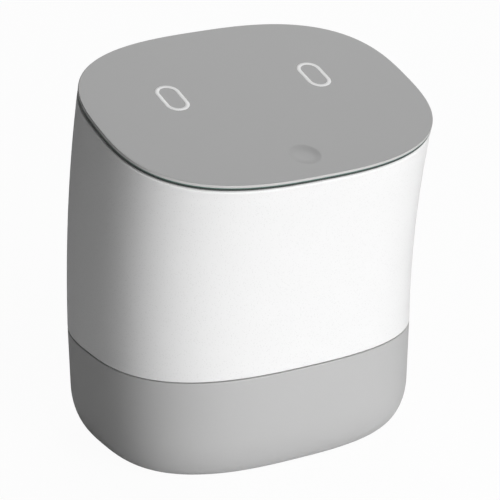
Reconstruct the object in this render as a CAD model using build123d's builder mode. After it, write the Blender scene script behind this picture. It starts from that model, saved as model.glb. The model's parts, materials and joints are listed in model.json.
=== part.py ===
from build123d import *
from math import asin, copysign, cos, degrees, pi, radians, sin
import os

# A table smart speaker, in millimetres. +Z is up and -Y is the front, the side that the
# touch panel slopes down to. The origin is the middle of the foot pad's resting face.

# --- Outer form -----------------------------------------------------------------------
FOOT_PROUD = 0.8  # how far the foot pad stands out under the base
BASE_HEIGHT = 41.7  # underside of the base shell to the seam under the body
BODY_HALF_WIDTH = 65.0  # at the seam
BODY_HALF_DEPTH = 51.75  # at the seam
TOP_HALF_WIDTH = 65.7  # at the touch panel
TOP_HALF_DEPTH = 50.1  # at the touch panel
SQUARENESS = 2.75  # exponent of the outline: 2 is an ellipse, higher is squarer
LEAN_RADIUS = 314.0  # the body's centre line bows forward along this arc
LEAN_ANGLE = 17.25  # how far the touch panel ends up tilted, in degrees
BASE_DRAFT = 0.85  # the base narrows by this much on each side towards its foot
BASE_ROUND_IN = 9.0  # the base's lower edge is a quarter of an ellipse, this far inwards
BASE_ROUND_UP = 17.4  # and this far upwards
SEAM_GAP = 0.4  # open line between the base and the body

# --- Walls, panel and general fits ----------------------------------------------------
BODY_WALL = 2.4
BASE_WALL = 2.5
BASE_FLOOR = 2.4
GLASS_THICK = 1.5
RIM_THICK = 0.7  # dark rim of the tray under the glass
SHADOW_GAP = 0.6  # recessed line under that rim
SHADOW_DEPTH = 1.0
BODY_EDGE_ROUND = 0.9
SEAM_EDGE_ROUND = 0.4
FIT = 0.3  # clearance round a piece that drops into another

# --- Touch panel ----------------------------------------------------------------------
MARK_X = 30.4  # the two touch marks, either side of the middle
MARK_V = 10.4  # and behind the panel's centre, along its slope
MARK_LENGTH = 17.0
MARK_WIDTH = 9.7
MARK_LINE = 1.6  # width of the drawn line
MARK_DEPTH = 0.3
DIMPLE_V = -36.4  # the finger dimple, in front of the panel's centre
DIMPLE_RADIUS = 6.5
DIMPLE_DEPTH = 0.6
GLASS_CHAMFER = 0.25
FILM_THICK = 0.3
FILM_INSET = 5.0
TRAY_WALL = 1.6
TRAY_FLOOR = 1.6
TRAY_DEPTH = 11.0  # from the glass's top to the tray's floor
TOUCH_BOARD_TOP = 6.4  # from the glass's top to the board's upper face
TOUCH_BOARD_THICK = 1.0
TOUCH_BOARD_GAP = 1.2  # from the tray's wall to the board's edge
GUIDE_WALL = 1.4
BOARD_SCREW_LENGTH = 3.6
LIGHT_COUNT = 3
LIGHT_STEP = 4.0
LIGHT_SIZE = 1.6
LIGHT_HIGH = 0.7
CONTROLLER_SIZE = 7.0
HELPER_X = 12.0
HELPER_V = -4.0
HELPER_SIZE = (4.0, 3.0)
PASSIVE_SIZE = (1.6, 0.8)
PASSIVE_STEP = (3.0, 5.0)
PASSIVE_V = -16.0
TOUCH_CHIP_HIGH = 1.0
MIC_SIDE_INSET = 12.2  # from the touch board's side edges to a microphone
MIC_REAR_INSET = 8.6
MIC_FRONT_INSET = 14.6
MIC_SIZE = 3.6
MIC_HIGH = 1.2
BOOT_SIZE = 6.4
BOOT_CORNER = 1.5
PANEL_POST_X = 40.0
PANEL_POST_V = 26.0
LUG_INSET = 4.9  # from the body's inner wall to a lug's centre
LUG_V = 14.0
LUG_RADIUS = 4.5
LUG_THICK = 3.0
LUG_DROP = 17.0  # from the glass's top to the lug's upper face
RIM_INSET = 0.1  # of the tray's rim, inside the glass's edge

# --- Screws ---------------------------------------------------------------------------
SCREW_RADIUS = 1.2
SCREW_HEAD_RADIUS = 2.2
SCREW_HEAD_HIGH = 1.4
SMALL_SCREW_RADIUS = 0.9
SMALL_HEAD_RADIUS = 1.7
SMALL_HEAD_HIGH = 1.1
PILOT_GAP = 0.05  # radial room round a screw in its pilot hole
CLEARANCE_GAP = 0.3  # radial room round a screw in a plate that it passes through
BOSS_RADIUS = 4.6
BLIND_END = 1.5  # solid left beyond a blind pilot hole
LUG_BITE = 4.0  # thread of a lug's screw in the tray
BOSS_BITE = 8.0  # thread of a deck screw in the body
SCREW_SPARE = 1.0  # pilot hole left beyond a screw's tip

# --- Deck between base and body -------------------------------------------------------
DECK_THICK = 2.8
DECK_BELOW_SEAM = 1.0  # from the seam down to the deck's upper face
DECK_LIP_HIGH = 4.6
DECK_LIP_WALL = 1.6
DECK_LEDGE = 1.3  # width of the ledge in the base that the deck rests on
BODY_BOSS_INSET = 5.0  # from the body's inner wall to a boss's centre
BODY_BOSS_Y = 14.0
BODY_BOSS_HIGH = 12.0
BODY_BOSS_CLEAR = 0.2  # between the deck's bosses and the body's
POST_INSET_X = 9.0  # from the base cover's edge to a post's centre
POST_INSET_Y = 17.75
POST_RADIUS = 3.6

# --- Base ------------------------------------------------------------------------------
FOOT_THICK = 1.6
FOOT_INSET = 2.65  # from the edge of the base's flat underside to the foot pad
COVER_INSET = 3.5  # from the foot pad's edge to the base cover's edge
COVER_THICK = 1.4
COVER_LEDGE = 3.0
BALLAST_THICK = 4.0
BALLAST_INSET = 2.0
MAIN_BOARD_Z = 20.8
MAIN_BOARD_THICK = 1.6
MAIN_BOARD_HALF_X = 32.0
MAIN_BOARD_FRONT = -16.0
BOARD_REAR_GAP = 8.75  # from the back of the body's outline to the board's rear edge
BOARD_CORNER = 2.0
STANDOFF_X = 27.0
STANDOFF_Y = (-11.0, 36.0)
STANDOFF_RADIUS = 2.6
USB_WIDTH = 8.94
USB_HIGH = 3.26
USB_LENGTH = 7.4
USB_SHELL = 0.4
USB_RECESS = 0.8  # from the base's rear surface in to the socket's mouth
USB_OVERHANG = 4.0  # of the socket, beyond the main board's tab
USB_TAB_WIDTH = 14.0
USB_BACK = 1.0  # closed back of the socket's shell
USB_CUT_SPARE = 2.0  # how far its opening is cut beyond each side of the wall
TONGUE_WIDTH = 6.7
TONGUE_THICK = 0.7
TONGUE_ROUND = 0.3
TONGUE_RECESS = 1.0
BASE_RINGS = (0.6, 0.8)  # shares of the base's height at which its wall is drawn
SHIELD_Y = 6.0
SHIELD_WALL = 0.5
SHIELD_TOP = 0.4
SHIELD_CORNER = 1.5
SPREADER_BASE = 2.0
FIN_COUNT = 7
FIN_THICK = 1.2
PROCESSOR_SIZE = 14.0
CHIP_PLACES = [(-24, 8), (24, 12)]
CHIP_SIZE = (7.0, 9.0)
CHIP_HIGH = 1.2
CAPACITOR_PLACES = [(-20, 26), (-12, 30), (14, 30)]
CAPACITOR_RADIUS = 3.0
CAPACITOR_HIGH = 7.0
SPREADER_SIZE = 30.0
SPREADER_HIGH = 7.0
SHIELD_HIGH = 3.0

# --- Speaker cabinet ------------------------------------------------------------------
CABINET_Y = -3.0
CABINET_HALF_X = 50.0
CABINET_HALF_Y = 38.0
CABINET_CORNER = 20.0
CABINET_WALL = 2.5
CABINET_HIGH = 41.0  # tub alone
LID_THICK = 3.0
LID_ROUND = 0.8
CABINET_CLEAR = 2.5  # from the grommets' tops up to the cabinet's floor
GASKET_THICK = 0.8
GROMMET_HIGH = 3.2
GROMMET_RADIUS = 4.5
GROMMET_INSET_X = 20.0  # from the cabinet's side to a grommet's centre
GROMMET_INSET_Y = 14.0
CABINET_SCREW_INSET = 5.0

# --- Driver, measured from its flange's upper face -----------------------------------
FLANGE_RADIUS = 31.0
FLANGE_THICK = 1.6
FLANGE_WIDTH = 5.4
CUTOUT_GAP = 0.7  # radial room round the basket in the cabinet's lid
BASKET_WALL = 1.2
BASKET_SEAT = 4.0  # width of its foot on the motor
BASKET_DEPTH = 17.5
MOTOR_RADIUS = 17.0
TOP_PLATE_THICK = 4.0
MAGNET_THICK = 8.0
BACK_PLATE_THICK = 4.0
COIL_RADIUS = 8.0
COIL_WALL = 0.8
COIL_GAP = 0.4  # radial room each side of the voice coil
COIL_LENGTH = 8.0
NECK_DEPTH = 11.5  # from the flange to the cone's neck
CONE_RIM = 1.5
CONE_LAND = 1.2  # width of the glued edge between the cone and its surround
CONE_THICK = 0.6
CAP_RADIUS = 10.0
CAP_HIGH = 3.5
ROLL_WIDTH = 4.4
ROLL_LAP = 0.3  # how far the surround's roll reaches over the flange
SURROUND_INSET = 4.0  # from the flange's edge to the surround's edge
ROLL_THICK = 0.6
DRIVER_TRAVEL = 2.5
DRIVER_SCREW_INSET = 1.9
DRIVER_SCREW_BITE = 2.4
WINDOW_LENGTH = 14.0
WINDOW_WIDTH = 11.0
WINDOW_COUNT = 6
WINDOW_CORNER = 2.0
WINDOW_SILL = 3.0  # from the basket's foot up to its windows
WINDOW_HEAD = 2.4  # from its windows up to the flange
WINDOW_OUT = 2.0
MAGNET_INSET = 0.4
MAGNET_GAP = 2.5  # from the voice coil out to the magnet's bore
FORMER_NECK = 2.0  # of the coil's former, above the cone's neck
SPIDER_RISE = 2.0  # from the winding's top up to the spider
SPIDER_WAVES = 4

# --- Passive radiator in the cabinet's back wall --------------------------------------
RADIATOR_FRAME = 18.5
RADIATOR_OPENING = 15.0
RADIATOR_FRAME_THICK = 2.0
RADIATOR_PISTON = 10.5
RADIATOR_PISTON_THICK = 1.4
RADIATOR_ROLL = 3.6
RADIATOR_LAND = 1.6  # of its surround, glued to the frame
PART_CHAMFER = 0.4  # on the radiator's turned edges and the motor
RADIATOR_WEIGHT_RADIUS = 7.0
RADIATOR_WEIGHT_THICK = 3.0

# --- Diffuser over the driver ---------------------------------------------------------
DIFFUSER_INSET = 1.0  # from the driver's flange edge in to the diffuser's flare
DIFFUSER_BRIM = 0.6  # of the diffuser, outside its legs
DIFFUSER_RISE = 11.0
DIFFUSER_THICK = 2.0
DIFFUSER_NOSE = 1.5
DIFFUSER_CLEAR = 4.0  # from the dust cap's highest point in travel to the diffuser's tip
LEG_OUT = 3.0  # from the driver's flange edge out to a leg's centre
LEG_RADIUS = 2.2

# --- Leads ----------------------------------------------------------------------------
LEAD_RADIUS = 1.1
LEAD_X = 22.0
LEAD_STRAIGHT = 8.0  # of the lead above the cabinet's floor, before it bends outwards
LEAD_SHIFT = 12.0  # height over which it does so
FLEX_OUT = 2.0  # from the cabinet's side to the flat cable
FLEX_Y = 0.0
FLEX_WIDTH = 10.0
FLEX_THICK = 0.3
FLEX_BEND = 4.0
FLEX_SLOT = 3.0
FLEX_LIFT = 1.5  # of the flat cable over the main board
FLEX_START_INSET = 2.0
SOCKET_DEPTH = 5.0
SOCKET_HIGH = 2.4
PLUG_SIZE = (5.0, 6.0)
CLIP_SHARES = (0.3, 0.75)  # of the cabinet's height, where the cable is clipped
CLIP_SPARE = 1.2  # of each clip, beyond the cable
CLIP_OPENING = 1.0
CLIP_SIDE = 4.0
CLIP_HIGH = 3.0
ANTENNA_PLACES = [(-14, 6), (10, 6)]
ANTENNA_SIZE = (17.0, 9.0)
ANTENNA_CORNER = 1.0
ANTENNA_THICK = 0.6
CONNECTOR_WIDTH = 3.0
CONNECTOR_EXTRA = 2.0
CONNECTOR_HIGH = 5.0
POST_PILOT_DEPTH = 10.0
LID_PILOT_DEPTH = 9.0
CABINET_SCREW_Y = 17.0
CABINET_FOOT_HIGH = 9.0
GLAND_RADIUS = 2.8
GLAND_BRIM = 1.2
GLAND_LIP = 1.0
WADDING_WIDTH = 60.0
WADDING_THICK = 7.5
WADDING_HIGH = 30.0
WADDING_ROUND = 1.5
CAP_SEAT = 0.1
SPIDER_LIFT = 0.7
SPIDER_THICK = 0.4
TERMINAL_LIFT = 2.1  # from the basket's foot up to the terminals
TERMINAL_CLEAR = 1.1  # from the terminals in to the lid's cutout
TERMINAL_WIDTH = 7.0
TERMINAL_THICK = 3.6
TERMINAL_HIGH = 4.0
PLUG_HIGH = 4.0
LEAD_BEND = 45.0
STANDOFF_PILOT_DEPTH = 6.0
FOOT_CHAMFER = 0.3

OUTLINE_POINTS = 40
LEAN_STEPS = 4

# --- Levels worked out from the sizes above -------------------------------------------
SEAM_Z = FOOT_PROUD + BASE_HEIGHT
BASE_TOP = SEAM_Z - SEAM_GAP
DECK_TOP = SEAM_Z - DECK_BELOW_SEAM
DECK_BOTTOM = DECK_TOP - DECK_THICK
LIP_TOP = DECK_TOP + DECK_LIP_HIGH
FOOT_RECESS_TOP = FOOT_THICK
COVER_TOP = FOOT_RECESS_TOP + COVER_THICK
FLOOR_TOP = FOOT_RECESS_TOP + BASE_FLOOR
CABINET_BOTTOM = DECK_TOP + GROMMET_HIGH + CABINET_CLEAR
TUB_TOP = CABINET_BOTTOM + CABINET_HIGH
LID_BOTTOM = TUB_TOP + GASKET_THICK
LID_TOP = LID_BOTTOM + LID_THICK
FLANGE_TOP = LID_TOP + GASKET_THICK + FLANGE_THICK
TOP_PLATE_TOP = FLANGE_TOP - BASKET_DEPTH
MAGNET_TOP = TOP_PLATE_TOP - TOP_PLATE_THICK
BACK_PLATE_TOP = MAGNET_TOP - MAGNET_THICK
BACK_PLATE_BOTTOM = BACK_PLATE_TOP - BACK_PLATE_THICK
NECK_Z = FLANGE_TOP - NECK_DEPTH
BASKET_INNER = FLANGE_RADIUS - FLANGE_WIDTH
DRIVER_CUTOUT = BASKET_INNER + BASKET_WALL + CUTOUT_GAP
DRIVER_SCREW_CIRCLE = FLANGE_RADIUS - DRIVER_SCREW_INSET
CONE_RADIUS = BASKET_INNER + ROLL_LAP - ROLL_WIDTH
DIFFUSER_RADIUS = FLANGE_RADIUS - DIFFUSER_INSET
LEG_CIRCLE = FLANGE_RADIUS + LEG_OUT
TERMINAL_Z = TOP_PLATE_TOP + TERMINAL_LIFT
TERMINAL_OUT = DRIVER_CUTOUT - TERMINAL_CLEAR
LEAD_NEAREST = MOTOR_RADIUS + 2 * BASKET_WALL + LEAD_RADIUS + FIT
TERMINAL_X = max(TERMINAL_OUT - TERMINAL_THICK / 2, LEAD_NEAREST)
CONE_SLOPE = (NECK_DEPTH - CONE_THICK) / (CONE_RADIUS - CONE_RIM - COIL_RADIUS - COIL_WALL / 2)
CAP_Z = NECK_Z + CONE_THICK + CONE_SLOPE * (CAP_RADIUS - COIL_RADIUS - COIL_WALL / 2) + CAP_SEAT
CAP_TOP = CAP_Z + CAP_HIGH
RADIATOR_Z = CABINET_BOTTOM + CABINET_HIGH / 2
USB_Z = MAIN_BOARD_Z + MAIN_BOARD_THICK + USB_SHELL + USB_HIGH / 2
CABINET_REAR = CABINET_Y + CABINET_HALF_Y
GROMMET_X = CABINET_HALF_X - GROMMET_INSET_X
GROMMET_Y = CABINET_HALF_Y - GROMMET_INSET_Y
FLEX_X = CABINET_HALF_X + FLEX_OUT
MAIN_BOARD_REAR = BODY_HALF_DEPTH - BOARD_REAR_GAP
LUG_X = TOP_HALF_WIDTH - BODY_WALL - LUG_INSET
BODY_BOSS_X = BODY_HALF_WIDTH - BODY_WALL - BODY_BOSS_INSET
DIFFUSER_TIP = CAP_TOP + DRIVER_TRAVEL + DIFFUSER_CLEAR
DIFFUSER_TOP = DIFFUSER_TIP + DIFFUSER_RISE + DIFFUSER_THICK
PILOT = SCREW_RADIUS + PILOT_GAP
SMALL_PILOT = SMALL_SCREW_RADIUS + PILOT_GAP
THROUGH = SCREW_RADIUS + CLEARANCE_GAP
SMALL_THROUGH = SMALL_SCREW_RADIUS + CLEARANCE_GAP

BASE_FLAT_X = BODY_HALF_WIDTH - BASE_DRAFT - BASE_ROUND_IN
BASE_FLAT_Y = BODY_HALF_DEPTH - BASE_DRAFT - BASE_ROUND_IN
FOOT_HALF_X = BASE_FLAT_X - FOOT_INSET
FOOT_HALF_Y = BASE_FLAT_Y - FOOT_INSET
COVER_HALF_X = FOOT_HALF_X - COVER_INSET
COVER_HALF_Y = FOOT_HALF_Y - COVER_INSET
POST_X = COVER_HALF_X - POST_INSET_X
POST_Y = COVER_HALF_Y - POST_INSET_Y


def outline(half_width, half_depth):
    """Rounded-square outline: a superellipse drawn from its polar formula."""
    points = []
    for step in range(OUTLINE_POINTS):
        angle = 2 * pi * step / OUTLINE_POINTS
        along_x = abs(cos(angle) / half_width) ** SQUARENESS
        along_y = abs(sin(angle) / half_depth) ** SQUARENESS
        reach = (along_x + along_y) ** (-1 / SQUARENESS)
        points.append((reach * cos(angle), reach * sin(angle)))
    with BuildSketch() as shape:
        with BuildLine():
            Spline(*points, periodic=True)
        make_face()
    return shape.sketch


def lean_plane(share):
    """Plane across the body at a share, 0 to 1, of the way up its leaning arc."""
    angle = radians(LEAN_ANGLE * share)
    middle = (0, -LEAN_RADIUS * (1 - cos(angle)), SEAM_Z + LEAN_RADIUS * sin(angle))
    return Plane(origin=middle, x_dir=(1, 0, 0), z_dir=(0, -sin(angle), cos(angle)))


def body_half_width(share):
    """Half width of the body at a share of the way up."""
    return BODY_HALF_WIDTH + share * (TOP_HALF_WIDTH - BODY_HALF_WIDTH)


def body_half_depth(share):
    """Half depth of the body at a share of the way up."""
    return BODY_HALF_DEPTH + share * (TOP_HALF_DEPTH - BODY_HALF_DEPTH)


def body_share(level):
    """Share of the way up its arc at which the body's centre line crosses a level."""
    return degrees(asin((level - SEAM_Z) / LEAN_RADIUS)) / LEAN_ANGLE


PANEL = lean_plane(1)


def under_panel(drop):
    """Plane parallel to the touch panel, this far below its upper face."""
    return PANEL.offset(-drop)


def panel_v(along_y, drop):
    """Place up the panel's slope of a point given by its Y and its drop under the glass."""
    return (along_y - under_panel(drop).origin.Y) / cos(radians(LEAN_ANGLE))


RIM_DROP = GLASS_THICK
NECK_DROP = RIM_DROP + RIM_THICK
BODY_DROP = NECK_DROP + SHADOW_GAP
TRAY_HALF_X = TOP_HALF_WIDTH - BODY_WALL - FIT
TRAY_HALF_V = TOP_HALF_DEPTH - BODY_WALL - FIT


def rounded_prism(half_x, half_y, corner, low, high):
    """Upright block with round corners, centred on the cabinet's axis."""
    with BuildPart() as block:
        with BuildSketch(Plane((0, CABINET_Y, low))):
            RectangleRounded(2 * half_x, 2 * half_y, corner)
        extrude(amount=high - low)
    return block.part


def screw(radius, length, head_radius, head_high):
    """Pan-head screw pointing up, its head's bearing face at the origin."""
    with BuildPart() as one:
        with BuildSketch(Plane.XY.offset(-head_high)):
            Circle(head_radius)
        extrude(amount=head_high)
        fillet(one.faces().sort_by(Axis.Z)[0].edges(), 0.4 * head_high)
        with BuildSketch():
            Circle(radius)
        extrude(amount=length)
        chamfer(one.faces().sort_by(Axis.Z)[-1].edges(), 0.3 * radius)
        with BuildSketch(Plane.XY.offset(-head_high)):
            RegularPolygon(0.5 * head_radius, 6)
        extrude(amount=0.55 * head_high, mode=Mode.SUBTRACT)
    return one.part


def down(plane):
    """The same plane turned over, so that a screw placed on it points down."""
    return Plane(origin=plane.origin, x_dir=plane.x_dir, z_dir=-plane.z_dir)


def base_section(rise, inset):
    """Half sizes of the base at a height over its underside, brought in by an inset."""
    draft = BASE_DRAFT * (1 - rise / BASE_HEIGHT)
    rounding = 0
    if rise < BASE_ROUND_UP:
        share = 1 - rise / BASE_ROUND_UP
        rounding = BASE_ROUND_IN * (1 - (1 - share**2) ** 0.5)
    in_by = draft + rounding + inset
    return BODY_HALF_WIDTH - in_by, BODY_HALF_DEPTH - in_by


os.makedirs("parts", exist_ok=True)
finished = []


def keep(builder, name):
    """Label a finished sub-part and write it out."""
    builder.part.label = name
    export_step(builder.part, "parts/" + name + ".step")
    finished.append(name)


# === Touch panel =======================================================================

MARK_PLACES = {"left": (-MARK_X, MARK_V), "right": (MARK_X, MARK_V)}

# The glass slab, with a ground edge, a groove for each mark and the finger dimple.
dimple_sphere = (DIMPLE_RADIUS**2 + DIMPLE_DEPTH**2) / (2 * DIMPLE_DEPTH)
with BuildPart() as top_glass:
    with BuildSketch(under_panel(GLASS_THICK)):
        add(outline(TOP_HALF_WIDTH, TOP_HALF_DEPTH))
    extrude(amount=GLASS_THICK)
    chamfer(top_glass.edges(), GLASS_CHAMFER)
    with BuildSketch(under_panel(MARK_DEPTH)):
        with Locations(*MARK_PLACES.values()):
            SlotOverall(MARK_LENGTH, MARK_WIDTH, rotation=90)
            SlotOverall(
                MARK_LENGTH - 2 * MARK_LINE,
                MARK_WIDTH - 2 * MARK_LINE,
                rotation=90,
                mode=Mode.SUBTRACT,
            )
    extrude(amount=MARK_DEPTH, mode=Mode.SUBTRACT)
    with Locations(under_panel(0)):
        with Locations((0, DIMPLE_V, dimple_sphere - DIMPLE_DEPTH)):
            Sphere(dimple_sphere, mode=Mode.SUBTRACT)
keep(top_glass, "top_glass")

# The two outlined marks fill their grooves flush with the glass.
for side, place in MARK_PLACES.items():
    with BuildPart() as ring_mark:
        with BuildSketch(under_panel(MARK_DEPTH)):
            with Locations(place):
                SlotOverall(MARK_LENGTH, MARK_WIDTH, rotation=90)
                SlotOverall(
                    MARK_LENGTH - 2 * MARK_LINE,
                    MARK_WIDTH - 2 * MARK_LINE,
                    rotation=90,
                    mode=Mode.SUBTRACT,
                )
        extrude(amount=MARK_DEPTH)
    keep(ring_mark, "ring_mark_" + side)

# Touch sensor film, bonded under the glass.
with BuildPart() as touch_film:
    with BuildSketch(under_panel(GLASS_THICK + FILM_THICK)):
        add(outline(TRAY_HALF_X - FILM_INSET, TRAY_HALF_V - FILM_INSET))
    extrude(amount=FILM_THICK)
keep(touch_film, "touch_film")

# Dark tray: the rim shows as a dark line, the neck below it makes the shadow gap, and the
# tub below that drops into the body. Four bosses reach down to the body's lugs.
PANEL_POSTS = [(x, v) for x in (-PANEL_POST_X, PANEL_POST_X) for v in (-PANEL_POST_V, PANEL_POST_V)]
LUGS = [(x, v) for x in (-LUG_X, LUG_X) for v in (-LUG_V, LUG_V)]
tray_inner_x = TRAY_HALF_X - TRAY_WALL
tray_inner_v = TRAY_HALF_V - TRAY_WALL
flex_v = panel_v(FLEX_Y, TRAY_DEPTH + TRAY_FLOOR)
board_bottom_drop = TOUCH_BOARD_TOP + TOUCH_BOARD_THICK
with BuildPart() as panel_carrier:
    with BuildSketch(under_panel(NECK_DROP)):
        add(outline(TOP_HALF_WIDTH - RIM_INSET, TOP_HALF_DEPTH - RIM_INSET))
    extrude(amount=RIM_THICK)
    with BuildSketch(under_panel(BODY_DROP)):
        add(outline(TOP_HALF_WIDTH - SHADOW_DEPTH, TOP_HALF_DEPTH - SHADOW_DEPTH))
    extrude(amount=SHADOW_GAP)
    with BuildSketch(under_panel(TRAY_DEPTH + TRAY_FLOOR)):
        add(outline(TRAY_HALF_X, TRAY_HALF_V))
    extrude(amount=TRAY_DEPTH + TRAY_FLOOR - BODY_DROP)
    with BuildSketch(under_panel(TRAY_DEPTH)):
        add(outline(tray_inner_x, tray_inner_v))
    extrude(amount=TRAY_DEPTH - RIM_DROP, mode=Mode.SUBTRACT)
    with BuildSketch(under_panel(TRAY_DEPTH)):
        with Locations(*PANEL_POSTS):
            Circle(STANDOFF_RADIUS)
    extrude(amount=TRAY_DEPTH - board_bottom_drop)
    with BuildSketch(under_panel(TRAY_DEPTH)):
        with Locations(*PANEL_POSTS):
            Circle(SMALL_PILOT)
    extrude(amount=TRAY_DEPTH - board_bottom_drop, mode=Mode.SUBTRACT)
    with BuildSketch(under_panel(LUG_DROP)):
        with Locations(*LUGS):
            Circle(LUG_RADIUS - FIT)
        add(outline(TRAY_HALF_X, TRAY_HALF_V), mode=Mode.INTERSECT)
    extrude(amount=LUG_DROP - TRAY_DEPTH)
    with BuildSketch(under_panel(LUG_DROP)):
        with Locations(*LUGS):
            Circle(PILOT)
    extrude(amount=LUG_DROP - TRAY_DEPTH - SCREW_SPARE, mode=Mode.SUBTRACT)
    with BuildSketch(under_panel(TRAY_DEPTH + TRAY_FLOOR)):
        with Locations((FLEX_X, flex_v)):
            Rectangle(CONNECTOR_WIDTH + 2 * FIT, FLEX_WIDTH + CONNECTOR_EXTRA + 2 * FIT)
    extrude(amount=TRAY_FLOOR, mode=Mode.SUBTRACT)
keep(panel_carrier, "panel_carrier")

# Milky wells that carry the lights' glow up to each mark.
guide_length = MARK_LENGTH + 2 * GUIDE_WALL
guide_width = MARK_WIDTH + 2 * GUIDE_WALL
for side, place in MARK_PLACES.items():
    with BuildPart() as light_guide:
        with BuildSketch(under_panel(TOUCH_BOARD_TOP)):
            with Locations(place):
                SlotOverall(guide_length, guide_width, rotation=90)
                SlotOverall(
                    guide_length - 2 * GUIDE_WALL,
                    guide_width - 2 * GUIDE_WALL,
                    rotation=90,
                    mode=Mode.SUBTRACT,
                )
        extrude(amount=TOUCH_BOARD_TOP - GLASS_THICK - FILM_THICK)
    keep(light_guide, "light_guide_" + side)

# Touch board, screwed down on the tray's posts.
board_half_x = tray_inner_x - TOUCH_BOARD_GAP
board_half_v = tray_inner_v - TOUCH_BOARD_GAP
with BuildPart() as touch_board:
    with BuildSketch(under_panel(board_bottom_drop)):
        add(outline(board_half_x, board_half_v))
        with Locations(*PANEL_POSTS):
            Circle(SMALL_THROUGH, mode=Mode.SUBTRACT)
    extrude(amount=TOUCH_BOARD_THICK)
keep(touch_board, "touch_board")

with BuildPart() as touch_board_screws:
    with Locations(down(under_panel(TOUCH_BOARD_TOP))):
        with Locations(*PANEL_POSTS):
            add(screw(SMALL_SCREW_RADIUS, BOARD_SCREW_LENGTH, SMALL_HEAD_RADIUS, SMALL_HEAD_HIGH))
keep(touch_board_screws, "touch_board_screws")

# Three lights in each well.
with BuildPart() as touch_lights:
    with BuildSketch(under_panel(TOUCH_BOARD_TOP)):
        with Locations(*MARK_PLACES.values()):
            with GridLocations(1, LIGHT_STEP, 1, LIGHT_COUNT):
                Rectangle(LIGHT_SIZE, LIGHT_SIZE)
    extrude(amount=LIGHT_HIGH)
keep(touch_lights, "touch_lights")

# Touch controller and its small helpers, in the middle of the board.
with BuildPart() as touch_chips:
    with BuildSketch(under_panel(TOUCH_BOARD_TOP)):
        Rectangle(CONTROLLER_SIZE, CONTROLLER_SIZE)
        with Locations((-HELPER_X, HELPER_V), (HELPER_X, HELPER_V)):
            Rectangle(*HELPER_SIZE)
        with GridLocations(*PASSIVE_STEP, 6, 2):
            with Locations((0, PASSIVE_V)):
                Rectangle(*PASSIVE_SIZE)
    extrude(amount=TOUCH_CHIP_HIGH)
keep(touch_chips, "touch_chips")

# Four microphones near the board's edge, each with a rubber boot up to the glass.
mic_x = board_half_x - MIC_SIDE_INSET
MIC_PLACES = [
    (0, board_half_v - MIC_REAR_INSET),
    (0, MIC_FRONT_INSET - board_half_v),
    (-mic_x, 0),
    (mic_x, 0),
]
with BuildPart() as mic_capsules:
    with BuildSketch(under_panel(TOUCH_BOARD_TOP)):
        with Locations(*MIC_PLACES):
            Rectangle(MIC_SIZE, MIC_SIZE)
    extrude(amount=MIC_HIGH)
keep(mic_capsules, "mic_capsules")
with BuildPart() as mic_boots:
    with BuildSketch(under_panel(TOUCH_BOARD_TOP)):
        with Locations(*MIC_PLACES):
            RectangleRounded(BOOT_SIZE, BOOT_SIZE, BOOT_CORNER)
            Rectangle(MIC_SIZE, MIC_SIZE, mode=Mode.SUBTRACT)
    extrude(amount=TOUCH_BOARD_TOP - GLASS_THICK - FILM_THICK)
keep(mic_boots, "mic_boots")

# === Body ==============================================================================

# White shell, hollow from seam to rim. It has screw bosses low down, and high up lugs that
# reach to the middle of its wall.
BODY_BOSSES = [(x, y) for x in (-BODY_BOSS_X, BODY_BOSS_X) for y in (-BODY_BOSS_Y, BODY_BOSS_Y)]
BOSS_BOTTOM = LIP_TOP + BODY_BOSS_CLEAR
lug_share = 1 - (LUG_DROP + LUG_THICK) / (LEAN_RADIUS * radians(LEAN_ANGLE))
lug_wall_x = body_half_width(lug_share) - BODY_WALL / 2
lug_wall_v = body_half_depth(lug_share) - BODY_WALL / 2
lug_reach = lug_wall_x - LUG_X
with BuildPart() as body_shell:
    for step in range(LEAN_STEPS + 1):
        share = step / LEAN_STEPS
        with BuildSketch(lean_plane(share)):
            add(outline(body_half_width(share), body_half_depth(share)))
    loft()
    for step in range(LEAN_STEPS + 1):
        share = step / LEAN_STEPS
        with BuildSketch(lean_plane(share)):
            add(outline(body_half_width(share) - BODY_WALL, body_half_depth(share) - BODY_WALL))
    loft(mode=Mode.SUBTRACT)
    split(bisect_by=under_panel(BODY_DROP), keep=Keep.BOTTOM)
    fillet(body_shell.faces().filter_by(Plane.XY)[0].outer_wire().edges(), SEAM_EDGE_ROUND)
    fillet(
        body_shell.faces().filter_by(under_panel(BODY_DROP))[0].outer_wire().edges(),
        BODY_EDGE_ROUND,
    )
    with BuildSketch(Plane.XY.offset(BOSS_BOTTOM)):
        with Locations(*BODY_BOSSES):
            Circle(BOSS_RADIUS)
    extrude(amount=BODY_BOSS_HIGH)
    with BuildSketch(under_panel(LUG_DROP + LUG_THICK)):
        with Locations(*LUGS):
            Circle(LUG_RADIUS)
        with Locations(*[(x + copysign(lug_reach / 2, x), v) for x, v in LUGS]):
            Rectangle(lug_reach, 2 * LUG_RADIUS)
        add(outline(lug_wall_x, lug_wall_v), mode=Mode.INTERSECT)
    extrude(amount=LUG_THICK)
    with BuildSketch(Plane.XY.offset(BOSS_BOTTOM)):
        with Locations(*BODY_BOSSES):
            Circle(PILOT)
    extrude(amount=BODY_BOSS_HIGH - BLIND_END, mode=Mode.SUBTRACT)
    with BuildSketch(under_panel(LUG_DROP + LUG_THICK)):
        with Locations(*LUGS):
            Circle(THROUGH)
    extrude(amount=LUG_THICK, mode=Mode.SUBTRACT)
keep(body_shell, "body_shell")

# Screws up through the lugs into the tray's bosses.
with BuildPart() as carrier_screws:
    with Locations(under_panel(LUG_DROP + LUG_THICK)):
        with Locations(*LUGS):
            add(screw(SCREW_RADIUS, LUG_THICK + LUG_BITE, SCREW_HEAD_RADIUS, SCREW_HEAD_HIGH))
keep(carrier_screws, "carrier_screws")

# === Deck between base and body ========================================================

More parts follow.
